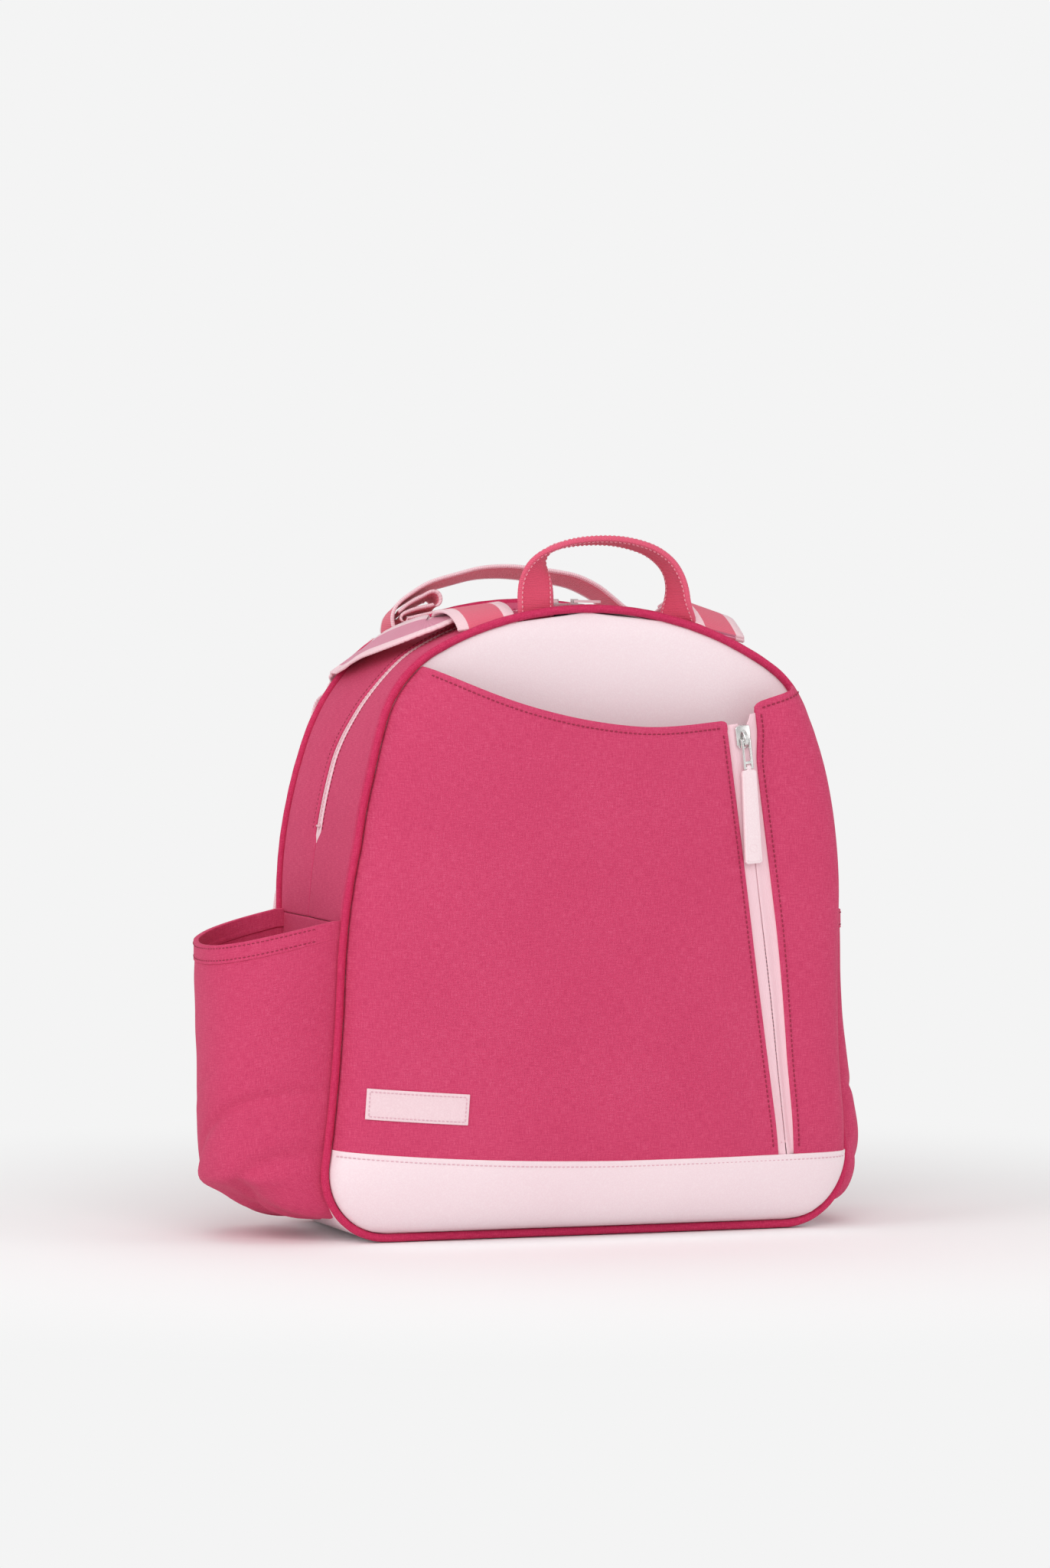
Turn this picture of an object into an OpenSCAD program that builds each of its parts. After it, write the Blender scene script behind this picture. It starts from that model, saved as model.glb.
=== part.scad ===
// Racket backpack: an arched body with a zipped gusset, an open racket pocket
// on the front, two bottle pockets, webbing handles and shoulder straps.
// Millimetres. X to the right, Y to the wearer's back, Z up. The front is -Y.
// The origin is on the base, under the line of the main zip.

/* [Body] */
// Width across the base, where the bag is widest
bag_w = 356; // [346:2:366]
// Height from the base to the top of the arch
bag_h = 404; // [396:2:412]
// Plane of the front seam, measured forward of the main zip
front_seam = 75; // [73:1:78]
// Plane of the rear seam, measured behind the main zip
rear_seam = 62; // [60:1:64]
// Thickness of the padded gusset
gusset_t = 4; // [3:0.5:4]
// Height at which the base gusset meets the side panels
base_h = 58; // [54:1:60]
// Diameter of the cord in the seams
piping_d = 5.6; // [5:0.2:6]

/* [Racket pocket] */
// How far the pocket stands forward of the front seam
pocket_bulge = 36; // [28:1:38]
// Thickness of the pocket cloth with its lining
pocket_t = 2.4; // [1.6:0.2:2.6]
// Lowest point of the pocket's open edge
mouth_z = 326; // [320:1:330]
// Height of the pale band across the bottom of the front
band_h = 51; // [46:1:54]
// Length of the sewn label
label_w = 64; // [50:1:70]
// Height of the sewn label
label_h = 20; // [14:1:22]

/* [Bottle pockets] */
// How far the left bottle pocket stands out from the side seam
bottle_a = 84; // [80:1:88]
// Height of the bottle pockets at the seam
bottle_h = 205; // [202:1:210]
// Thickness of the bottle pocket cloth
bottle_t = 2.5; // [2:0.5:3]

/* [Handles and straps] */
// Width of the top handle webbing
handle_w = 24; // [20:1:26]
// Height of the top handle over its pivot
handle_h = 46; // [40:1:48]
// Width of the shoulder strap webbing
strap_w = 38; // [34:1:38]
// Thickness of the webbing
web_t = 2; // [1.6:0.2:2.2]
// Width of the rear loop webbing
loop_w = 25; // [20:1:26]

/* [Zips] */
// Half width of the main zip's channel
zip_half = 9; // [8:0.5:10]
// Length of the pocket zip's pull tab
tab_l = 60; // [50:1:62]
// Width of the pocket zip's pull tab
tab_w = 11; // [9:1:12]

/* [Hidden] */
kx = bag_w / 356;
kz = bag_h / 404;
gap = 0.4;
yf = -front_seam;
yr = rear_seam;
dg = 2.6;
raspberry = [0.80, 0.22, 0.38];
pale = [0.95, 0.86, 0.88];
coral = [0.90, 0.42, 0.50];
steel = [0.78, 0.78, 0.80];

// ---- outline of the arch: tangent arcs, inset by d --------------------------
function arc(cx, cz, r, a0, a1, n) = [for (i = [1:n]) let (a = a0 + (a1 - a0) * i / n) [cx + r * cos(a), cz + r * sin(a)]];
function half(d) = concat([[134.5, d]], arc(134.5, 44, 44 - d, -90, 7.8, 9), arc(1357.1, 211.2, 1190 + d, 187.8, 180, 4),
  arc(-162.9, 211.2, 330 - d, 0, 22, 4), arc(64.3, 303, 85 - d, 22, 62, 7), arc(0, 182, 222 - d, 62, 90, 12));
function outline(d) = let (h = half(d), n = len(h)) concat([for (p = h) [p[0] * kx, p[1] * kz]],
  [for (i = [n - 2:-1:0]) [-h[i][0] * kx, h[i][1] * kz]]);
// half width of the outline at height z
function hw0(z, d) =
  z > 303 + (85 - d) * cos(28) ? sqrt(max(pow(222 - d, 2) - pow(z - 182, 2), 0)) :
  z > 303 + (85 - d) * cos(68) ? 64.3 + sqrt(max(pow(85 - d, 2) - pow(z - 303, 2), 0)) :
  z > 211.2 ? -162.9 + sqrt(pow(330 - d, 2) - pow(z - 211.2, 2)) :
  z > 44 + (44 - d) * sin(7.8) ? 1357.1 - sqrt(pow(1190 + d, 2) - pow(211.2 - z, 2)) :
  134.5 + sqrt(max(pow(44 - d, 2) - pow(z - 44, 2), 0));
function hw(z, d) = kx * hw0(z / kz, d);
// height of the top arc at x
function top_z(x, d) = kz * (182 + sqrt(pow(222 - d, 2) - pow(x / kx, 2)));

module slab(d, y0, y1) { translate([0, y1, 0]) rotate([90, 0, 0]) linear_extrude(y1 - y0) polygon(outline(d)); }
module ring(d0, d1, y0, y1) { difference() { slab(d0, y0, y1); slab(d1, y0 - 1, y1 + 1); } }
// prism along X from a (y, z) polygon
module yz(p, x0, x1) { translate([x0, 0, 0]) rotate([90, 0, 90]) linear_extrude(x1 - x0) polygon(p); }
// prism along Y from an (x, z) polygon
module xz(p, y0, y1) { translate([0, y1, 0]) rotate([90, 0, 0]) linear_extrude(y1 - y0) polygon(p); }
module both() { children(); mirror([1, 0, 0]) children(); }

// ---- main zip: its line is at y 0 on the sides and runs forward over the top -
zip_top_y = -30;
zip_end = 260;
function smooth(t) = let (u = min(max(t, 0), 1)) u * u * (3 - 2 * u);
function zip_y(z) = zip_top_y * smooth((z / kz - 300) / 70);
zz = [200, 300, 308, 316, 324, 332, 340, 348, 356, 364, 370, 420];
function band_yz(w0, w1) = concat([for (z = zz) [zip_y(z * kz) + w0, z * kz]], [for (i = [len(zz) - 1:-1:0]) [zip_y(zz[i] * kz) + w1, zz[i] * kz]]);
module zip_band(w0, w1, z0) {
  intersection() { yz(band_yz(w0, w1), -200, 200); translate([-220, -200, z0]) cube([440, 400, 300]); }
}

// ---- front of the racket pocket --------------------------------------------
function fade(z) = let (v = min(max((z - 6) / 70, 0), 1)) pow(1 - pow(1 - v, 2.2), 0.6);
function bulge(x, z) = let (q = min(abs(x) / max(hw(z, 6.2), 1), 1)) pow(max(1 - pow(q, 2.4), 0), 0.45) * fade(z);
function ysurf(x, z) = yf - 2.2 - pocket_bulge * bulge(x, z);
// line of the pocket zip and half width of its gap
function zx(z) = 93.2 + (322 - z) * 0.119;
function zg(z) = 5.6 + 3.9 * min(max((z - 50) / 272, 0), 1);
function seam_z(x) = band_h + 5 * pow(abs(x) / 176, 4);
function mouth(x) = mouth_z + 0.0015 * pow(x - 50, 2);
// spacing that closes up towards u = 0 (k = 0), or u = 1 (k = 1), or both (k = 2)
function space(u, k) = k == 0 ? 1 - sin(90 * (1 - u)) : k == 1 ? sin(90 * u) : 0.5 - 0.5 * cos(180 * u);
// closed sheet from two grids of points, front then back
module sheet(f, b, nu, nv) {
  m = (nu + 1) * (nv + 1);
  function id(i, j, s) = s * m + j * (nu + 1) + i;
  polyhedron(concat(f, b), concat(
    [for (j = [0:nv - 1], i = [0:nu - 1]) each [[id(i, j, 0), id(i + 1, j + 1, 0), id(i + 1, j, 0)], [id(i, j, 0), id(i, j + 1, 0), id(i + 1, j + 1, 0)]]],
    [for (j = [0:nv - 1], i = [0:nu - 1]) each [[id(i, j, 1), id(i + 1, j, 1), id(i + 1, j + 1, 1)], [id(i, j, 1), id(i + 1, j + 1, 1), id(i, j + 1, 1)]]],
    [for (i = [0:nu - 1]) each [[id(i, 0, 0), id(i + 1, 0, 0), id(i + 1, 0, 1)], [id(i, 0, 0), id(i + 1, 0, 1), id(i, 0, 1)]]],
    [for (i = [0:nu - 1]) each [[id(i, nv, 0), id(i + 1, nv, 1), id(i + 1, nv, 0)], [id(i, nv, 0), id(i, nv, 1), id(i + 1, nv, 1)]]],
    [for (j = [0:nv - 1]) each [[id(0, j, 0), id(0, j, 1), id(0, j + 1, 1)], [id(0, j, 0), id(0, j + 1, 1), id(0, j + 1, 0)]]],
    [for (j = [0:nv - 1]) each [[id(nu, j, 0), id(nu, j + 1, 1), id(nu, j, 1)], [id(nu, j, 0), id(nu, j + 1, 0), id(nu, j + 1, 1)]]]
  ), convexity = 6);
}
function push(g, t) = [for (p = g) [p[0], p[1] + t, p[2]]];

function panel_pt(u, v) = let (xt = -118 + 202 * u, xb = -170 + 288 * u, z = (seam_z(xb) + 2 * gap) * (1 - v) + mouth(xt) * v,
  x0 = -hw(z, 6.2), x1 = zx(z) - zg(z), x = x0 + (x1 - x0) * u) [x, ysurf(x, z), z];
function flap_pt(u, v) = let (xb = 130 + 44 * u, z = (seam_z(xb) + 2 * gap) * (1 - v) + (333 + 12 * u) * v,
  x0 = zx(z) + zg(z), x1 = hw(z, 6.2), x = x0 + (x1 - x0) * u) [x, ysurf(x, z), z];
function band_pt(u, v) = let (xt = -174 + 348 * u, z = 6.4 * (1 - v) + seam_z(xt) * v, h = hw(z, 6.2), x = h * (2 * u - 1)) [x, ysurf(x, z), z];
function grid(k, nu, nv, sp) = [for (j = [0:nv], i = [0:nu]) let (u = space(i / nu, sp), v = j / nv)
  k == 0 ? panel_pt(u, v) : k == 1 ? flap_pt(u, v) : band_pt(u, v)];

module racket_pocket_panel() { color(raspberry) { g = grid(0, 20, 14, 0); sheet(g, push(g, pocket_t), 20, 14); } }
module racket_pocket_flap() { color(raspberry) { g = grid(1, 10, 14, 1); sheet(g, push(g, pocket_t), 10, 14); } }
module base_band() { color(pale) { g = grid(2, 28, 7, 2); sheet(g, push(g, pocket_t), 28, 7); } }
module label_patch() {
  color(pale) {
    g = [for (j = [0:2], i = [0:8]) let (x = -153 + label_w * i / 8, z = 80.5 + label_h * j / 2 - 0.062 * (x + 153)) [x, ysurf(x, z) - 1.5, z]];
    sheet(g, push(g, 1.1), 8, 2);
  }
}

// ---- shell of the body -------------------------------------------------------
module front_panel() { color(pale) slab(6, yf + 1, yf + 3); }
module front_piping() { color(raspberry) ring(0, piping_d, yf - 2.8, yf + 2.8); }
module rear_piping() { color(raspberry) ring(0, piping_d, yr - 2.6, yr + 3); }
module gusset_ring(z0, z1) {
  intersection() { ring(dg, dg + gusset_t, yf + 3.2, yr - 3); translate([-200, -150, z0]) cube([400, 300, z1 - z0]); }
}
module front_gusset() {
  color(raspberry) difference() {
    gusset_ring(zip_end - 8, 500);
    yz(concat([for (z = zz) [zip_y(z * kz) - zip_half, z * kz]], [[200, 420 * kz], [200, 200]]), -200, 200);
  }
}
module rear_gusset() {
  color(raspberry) difference() {
    gusset_ring(zip_end - 8, 500);
    yz(concat([for (z = zz) [zip_y(z * kz) + zip_half, z * kz]], [[-200, 420 * kz], [-200, 200]]), -200, 200);
  }
}
module side_piece() {
  difference() {
    gusset_ring(base_h + gap, zip_end - 8 - gap);
    translate([-400, -150, 0]) cube([400, 300, 500]);
  }
}
module side_panel_right() { color(raspberry) side_piece(); }
module side_panel_left() { color(raspberry) mirror([1, 0, 0]) side_piece(); }
module base_gusset() {
  color(pale) intersection() { ring(0, dg + gusset_t, yf + 3.2, yr - 3); translate([-200, -150, -1]) cube([400, 300, base_h + 1]); }
}
module base_board() { color([0.2, 0.2, 0.2]) translate([-126, yf + 8, 8.4]) cube([252, rear_seam + front_seam - 16, 2.4]); }
module main_lining() {
  color([0.9, 0.8, 0.82]) difference() {
    ring(dg + gusset_t + gap, dg + gusset_t + gap + 1, yf + 4.6, yr - 5.4);
    zip_band(-zip_half, zip_half, zip_end - 8);
  }
}
module back_panel() { color(raspberry) difference() { slab(6, yr - 2.6, yr + 8); slab(12, yr - 4, yr + 4); } }
module back_foam() { color([0.3, 0.3, 0.32]) slab(12.4, yr - 2.2, yr + 3.7); }
module back_board() { color([0.15, 0.15, 0.15]) slab(12.4, yr - 4.8, yr - 2.8); }

// ---- main zip ----------------------------------------------------------------
module main_tape() { intersection() { ring(3.4, 4.4, yf + 20, yr); children(); } }
module main_zip_tape_front() { color(pale) main_tape() zip_band(-zip_half + gap, -2.1, zip_end); }
module main_zip_tape_rear() { color(pale) main_tape() zip_band(2.1, zip_half - gap, zip_end); }
module main_zip_coil() {
  color(pale) intersection() {
    ring(3, 4.8, yf + 20, yr);
    union() { zip_band(-1.9, -0.8, zip_end); zip_band(0.8, 1.9, zip_end); }
  }
}
module main_zip_stops() {
  color(steel) both() translate([hw(zip_end - 4, dg) - 1.4, -4, zip_end - 7]) cube([1.2, 8, 6.4]);
}
// one slider on the arc: a degrees from the top, s = -1 left, 1 right
module on_arc(a) { translate([0, zip_top_y, 182 * kz]) rotate([0, a, 0]) children(); }
rz = 222 * kz;
module slider_body() {
  translate([-5.5, -4.5, rz - 2.5]) cube([11, 9, 1.7]);
  translate([-5.5, -4.5, rz - 7.6]) cube([11, 9, 1.8]);
  translate([-2.5, -0.5, rz - 6]) cube([5, 1, 4]);
  difference() {
    translate([-2.2, -1.3, rz - 1]) cube([4.4, 2.6, 3.2]);
    translate([0, 2, rz + 0.8]) rotate([90, 0, 0]) cylinder(r = 0.85, h = 4, $fn = 24);
  }
}
// pull with its tab pointing along +X
module puller_body() {
  translate([0, 2.9, rz + 0.8]) rotate([90, 0, 0]) cylinder(r = 0.6, h = 5.8, $fn = 24);
  for (y = [-2.9, 1.7]) translate([-0.8, y, rz]) cube([6.8, 1.2, 1.6]);
  translate([4, -2.9, rz]) cube([11, 5.8, 1.6]);
  translate([15, 0, rz]) cylinder(r = 2.9, h = 1.6, $fn = 32);
}
module main_slider_left() { color(steel) on_arc(-1.7) slider_body(); }
module main_slider_right() { color(steel) on_arc(1.7) slider_body(); }
module main_puller_left() { color(pale) on_arc(-1.7) mirror([1, 0, 0]) puller_body(); }
module main_puller_right() { color(pale) on_arc(1.7) puller_body(); }

// ---- pocket zip: straight line, leaning as the pocket seam does ---------------
module zipf() { translate([93.2, yf - 32.3 - (pocket_bulge - 36), 322]) rotate([0, 0, 11.3]) rotate([-0.464, -6.829, 0]) children(); }
zl = 268;
module half_tape() {
  translate([0, 1.7, 0]) rotate([90, 0, 0]) linear_extrude(0.9) polygon([[2.1, 0], [zg(322) - 0.5, 4], [zg(60) - 0.5, 2.8 - zl], [2.1, 2.8 - zl]]);
}
module pocket_zip_tape_right() { color(pale) zipf() half_tape(); }
module pocket_zip_tape_left() { color(pale) zipf() mirror([1, 0, 0]) half_tape(); }
module pocket_zip_coil() { color(pale) zipf() for (x = [-1.9, 0.8]) translate([x, 0.2, -zl + 2.4]) cube([1.1, 1.8, zl - 4.4]); }
module pocket_zip_stops() {
  color(steel) zipf() {
    translate([-3, -0.8, -zl - 0.6]) cube([6, 3, 2.4]);
    for (x = [-3.4, 2.2]) translate([x, -0.2, 4.6]) cube([1.2, 2.6, 3]);
  }
}
module pocket_zip_slider() {
  color(steel) zipf() {
    translate([-4.6, -2.1, -9]) cube([9.2, 1.7, 13]);
    translate([-4.6, 2.5, -9]) cube([9.2, 1.4, 13]);
    translate([-0.5, -1, -2]) cube([1, 4, 6]);
    difference() {
      translate([-1.2, -5.4, -7]) cube([2.4, 3.5, 6.4]);
      translate([-3, -3.9, -4.5]) rotate([0, 90, 0]) cylinder(r = 0.9, h = 6, $fn = 24);
    }
  }
}
module pocket_zip_link() {
  color(steel) zipf() {
    for (z = [-4.5, -22.5]) translate([-3.6, -3.9, z]) rotate([0, 90, 0]) cylinder(r = 0.7, h = 7.2, $fn = 24);
    for (x = [-3.6, 1.9]) translate([x, -4.8, -23.4]) cube([1.7, 1.8, 19.8]);
  }
}
module pocket_zip_tab() {
  color(pale) zipf() difference() {
    union() {
      translate([-1.5, -5.3, -26]) cube([3, 2.8, 5]);
      translate([-tab_w / 2, -5.1, -23.8 - tab_l]) cube([tab_w, 2.4, tab_l - 0.6]);
    }
    translate([-6, -3.9, -22.5]) rotate([0, 90, 0]) cylinder(r = 0.9, h = 12, $fn = 24);
  }
}

// ---- bottle pockets ----------------------------------------------------------
// plan of a pocket on the right side: half an oval that stands out by a
function plan(a, b, e) = [for (i = [0:24]) let (t = -90 + 180 * i / 24) [165 + (a + 3) * pow(cos(t), e), -8 + b * sin(t) - 14 * cos(t) * cos(t)]];
module oval(a, b, e) { linear_extrude(400) polygon(plan(a, b, e)); }
function side_l(t) = let (o = 168 + bottle_a) [[150, 16 + t], [183, 14 + t], [208 - t / 2, 20 + t], [228 - t, 31 + t], [o - 9 - t, 42 + t], [o - 2 - t, 60 + t / 2], [o - t, 90], [o - t, 120], [o - t, 400], [150, 400]];
function side_r(t) = [[150, 16 + t], [183 - t / 2, 14 + t], [192.5 - t, 26 + t / 2], [197.5 - t, 45], [197 - t, 62], [192 - t, 95], [189 - t, 128], [188 - t, 165], [188 - t, 400], [150, 400]];
module pocket_solid(a, t, e, left) { intersection() { oval(a - t, 64 - t, e); xz(left ? side_l(t) : side_r(t), -200, 200); } }
module pocket_wall(a, e, left, s) {
  difference() {
    pocket_solid(a, 0, e, left);
    pocket_solid(a, bottle_t, e, left);
    slab(dg - gap, -200, 200);
    intersection() { slab(-gap, -200, 200); translate([-250, -200, -5]) cube([500, 400, base_h + 5 + gap]); }
    // open rim, lower at its outer edge
    xz([[140, bottle_h + 7], [140, 500], [300, 500], [300, bottle_h - 132 * s]], -200, 200);
  }
}
module hem_zone(s) { xz([[140, bottle_h - 5], [140, bottle_h + 20], [300, bottle_h + 20], [300, bottle_h - 12 - 132 * s]], -200, 200); }
module hem_cut(s) { xz([[140, bottle_h - 5 - gap], [140, 500], [300, 500], [300, bottle_h - 12 - 132 * s - gap]], -200, 200); }
module bottle_pocket_left() { color(raspberry) mirror([1, 0, 0]) difference() { pocket_wall(bottle_a, 0.62, true, 0.22); hem_cut(0.22); } }
module bottle_hem_left() { color(raspberry) mirror([1, 0, 0]) intersection() { pocket_wall(bottle_a, 0.62, true, 0.22); hem_zone(0.22); } }
module bottle_pocket_right() { color(raspberry) difference() { pocket_wall(34, 0.4, false, 0.03); hem_cut(0.03); } }
module bottle_hem_right() { color(raspberry) intersection() { pocket_wall(34, 0.4, false, 0.03); hem_zone(0.03); } }

// ---- webbing -------------------------------------------------------------------
function unit(v) = v / norm(v);
// flat webbing through the points p, its width along the vectors w
module ribbon(p, w, wid, t) {
  n = len(p);
  tan = [for (i = [0:n - 1]) unit(p[min(i + 1, n - 1)] - p[max(i - 1, 0)])];
  ww = [for (i = [0:n - 1]) unit(w[i] - (w[i] * tan[i]) * tan[i])];
  nn = [for (i = [0:n - 1]) cross(tan[i], ww[i])];
  pts = [for (i = [0:n - 1]) each [p[i] - ww[i] * wid / 2 - nn[i] * t / 2, p[i] + ww[i] * wid / 2 - nn[i] * t / 2,
    p[i] + ww[i] * wid / 2 + nn[i] * t / 2, p[i] - ww[i] * wid / 2 + nn[i] * t / 2]];
  polyhedron(pts, concat([[0, 1, 2], [0, 2, 3]], [for (k = [4 * n - 4]) each [[k, k + 2, k + 1], [k, k + 3, k + 2]]],
    [for (i = [0:n - 2], j = [0:3]) let (a = 4 * i + j, b = 4 * i + (j + 1) % 4, c = b + 4, d = a + 4) each [[a, d, c], [a, c, b]]]), convexity = 6);
}
// arch of webbing over x = -s..s from z0, rising h: flat to the front at its legs, turned at its top
function arch_p(s, h, y, z0, n) = [for (i = [0:n]) let (a = 180 - 180 * i / n) [s * (cos(a) < 0 ? -1 : 1) * pow(abs(cos(a)), 0.75), y, z0 + h * pow(sin(a), 0.8)]];
function arch_w(n) = [for (i = [0:n]) let (f = i / n, k = smooth((min(f, 1 - f) - 0.04) / 0.26), g = f < 0.5 ? 1 : -1) [g * cos(90 * k), sin(90 * k), -0.3 * sin(90 * k)]];
hz = 402.5 * kz;
hy = yf + 6.2;
lz = 393 * kz;
ly = yr + 10.5;
module top_handle() { color(raspberry) ribbon(arch_p(47, handle_h, hy, hz, 32), arch_w(32), handle_w, 3.6); }
module top_handle_roots() {
  color(raspberry) both() difference() {
    translate([47 - handle_w / 2, hy - 1.8, hz - 20]) cube([handle_w, 3.6, 17.8]);
    slab(dg - gap, -200, 200);
  }
}
module rear_loop() { color(coral) ribbon(arch_p(75, 33, ly, lz, 36), arch_w(36), loop_w, web_t + 0.4); }
module rear_loop_patches() { color(coral) both() translate([75 - loop_w / 2, yr + 8.4, lz - 34]) cube([loop_w, 2, 31]); }

// left shoulder strap over the top of the bag, from the front seam to the rear edge
strap_path = [[-66, -65, 393.4], [-66, -60.5, 395], [-66, -54, 397.6], [-66, -46, 399.6], [-67.5, -38, 400], [-70, -26, 399], [-74, -12, 396.6],
  [-81, 4, 393], [-89, 20, 389], [-96, 35, 385], [-102, 48, 381.8], [-107, 60, 379.6], [-109.5, 70, 379.4], [-110.5, 78, 376.4], [-110.6, 83, 371.5], [-110.6, 84, 367]];
strap_tilt = [16, 15, 12, 9, 8, 10, 14, 19, 24, 28, 31, 33, 33, 28, 18, 6];
module strap_top() {
  ribbon([for (p = strap_path) [p[0] * kx, p[1] + (p[1] < 0 ? 75 - front_seam : rear_seam - 62), p[2] * kz]], [for (a = strap_tilt) [cos(a), 0, sin(a)]], strap_w, web_t);
}
module strap_top_left() { color(coral) strap_top(); }
module strap_top_right() { color(coral) mirror([1, 0, 0]) strap_top(); }
// hanging loop of the strap, flat in the plane through its two anchors
sa = [-110.4 * kx, yr + 22, 363.6 * kz];
sb = [-134.4 * kx, yr + 22, 49.6 * kz];
sl = norm(sb - sa);
sang = atan2(-(sb - sa)[2], (sb - sa)[0]);
module strap_plane() { translate(sa) rotate([0, sang, 0]) children(); }
curve = [[0, 0], [0.025, 0.4], [0.06, 3], [0.1, 8], [0.16, 18], [0.24, 33], [0.33, 47], [0.42, 57], [0.5, 62.5], [0.56, 64.6], [0.61, 64], [0.65, 60.5], [0.87, 29.7], [0.905, 22], [0.935, 12.5], [0.96, 4], [0.98, 0.6], [1, 0]];
function line(c, t) = let (n = len(c)) [for (i = [0:n - 1]) let (d = unit(c[min(i + 1, n - 1)] - c[max(i - 1, 0)])) c[i] + t * [-d[1], d[0]]];
cp = [for (c = curve) [c[0] * sl, c[1]]];
module strap_loop() {
  strap_plane() translate([0, 0, -strap_w / 2]) linear_extrude(strap_w)
    polygon(concat(line(cp, web_t / 2), [for (i = [len(cp) - 1:-1:0]) line(cp, -web_t / 2)[i]]));
}
module strap_left() { color(coral) strap_loop(); }
module strap_right() { color(coral) mirror([1, 0, 0]) strap_loop(); }
// three-bar adjuster on the straight run of the loop
p0 = cp[11];
p1 = cp[12];
run = atan2(p1[1] - p0[1], p1[0] - p0[0]);
module adjuster() {
  strap_plane() translate([p0[0], p0[1], 0]) rotate([0, 0, run]) translate([20, 0, 0]) {
    for (z = [-strap_w / 2 - 4.4, strap_w / 2 + 0.6]) translate([-14, -web_t / 2 - 3.2, z]) cube([28, web_t + 6.4, 3.8]);
    for (x = [-14, 10]) translate([x, web_t / 2 + 0.6, -strap_w / 2 - 2]) cube([4, 2.6, strap_w + 4]);
    translate([-2.5, -web_t / 2 - 3.2, -strap_w / 2 - 2]) cube([5, 2.6, strap_w + 4]);
  }
}
module strap_adjuster_left() { color(steel) adjuster(); }
module strap_adjuster_right() { color(steel) mirror([1, 0, 0]) adjuster(); }
// lower end of the strap and the tab that sews it into the bottom corner
root_path = [[-134.4, 84, 46.8], [-134.6, 83.2, 42.6], [-135.2, 80.6, 37], [-136, 76.8, 32], [-137, 74.4, 26], [-138, 74, 19]];
module root_web() { ribbon([for (p = root_path) [p[0] * kx, p[1] + rear_seam - 62, p[2] * kz]], [for (p = root_path) [1, 0, 0]], strap_w, web_t); }
module strap_root_left() { color(coral) root_web(); }
module strap_root_right() { color(coral) mirror([1, 0, 0]) root_web(); }
module corner_tab() { xz([[-161, 46], [-120, 12], [-148, 12], [-163, 24]], yr + 8.3, yr + 10.6); }
module corner_tab_left() { color(raspberry) corner_tab(); }
module corner_tab_right() { color(raspberry) mirror([1, 0, 0]) corner_tab(); }

front_panel();
back_panel();
back_foam();
back_board();
front_gusset();
rear_gusset();
side_panel_left();
side_panel_right();
base_gusset();
base_board();
main_lining();
front_piping();
rear_piping();
main_zip_tape_front();
main_zip_tape_rear();
main_zip_coil();
main_zip_stops();
main_slider_left();
main_slider_right();
main_puller_left();
main_puller_right();
racket_pocket_panel();
racket_pocket_flap();
base_band();
pocket_zip_tape_left();
pocket_zip_tape_right();
pocket_zip_coil();
pocket_zip_stops();
pocket_zip_slider();
pocket_zip_link();
pocket_zip_tab();
label_patch();
bottle_pocket_left();
bottle_pocket_right();
bottle_hem_left();
bottle_hem_right();
top_handle();
top_handle_roots();
rear_loop();
rear_loop_patches();
strap_top_left();
strap_top_right();
strap_left();
strap_right();
strap_adjuster_left();
strap_adjuster_right();
strap_root_left();
strap_root_right();
corner_tab_left();
corner_tab_right();
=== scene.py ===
import bpy, bmesh, math
import numpy as np
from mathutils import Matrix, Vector, noise


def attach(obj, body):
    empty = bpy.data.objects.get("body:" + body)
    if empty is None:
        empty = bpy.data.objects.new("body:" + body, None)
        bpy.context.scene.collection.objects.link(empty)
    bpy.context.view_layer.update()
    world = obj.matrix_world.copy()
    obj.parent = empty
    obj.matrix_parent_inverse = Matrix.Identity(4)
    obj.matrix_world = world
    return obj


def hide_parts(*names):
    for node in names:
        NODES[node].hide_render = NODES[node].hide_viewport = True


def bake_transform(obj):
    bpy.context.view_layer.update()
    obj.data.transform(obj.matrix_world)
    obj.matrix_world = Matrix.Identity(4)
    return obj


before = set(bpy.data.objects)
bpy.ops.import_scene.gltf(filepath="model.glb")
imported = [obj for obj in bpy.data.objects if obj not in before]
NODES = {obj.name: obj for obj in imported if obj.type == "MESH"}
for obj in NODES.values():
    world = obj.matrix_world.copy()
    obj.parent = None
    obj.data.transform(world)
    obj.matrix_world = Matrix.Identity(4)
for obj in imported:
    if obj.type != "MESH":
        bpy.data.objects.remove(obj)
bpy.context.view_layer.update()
MM = 0.001
SC = bpy.context.scene
REPLACED = set()

# =============================================================== materials
def _n(nt, kind, x=0, y=0, **kw):
    n = nt.nodes.new(kind)
    n.location = (x, y)
    for k, v in kw.items():
        setattr(n, k, v)
    return n


def srgb(r, g, b):
    f = lambda c: c / 12.92 if c <= 0.04045 else ((c + 0.055) / 1.055) ** 2.4
    return (f(r / 255), f(g / 255), f(b / 255), 1.0)


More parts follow.
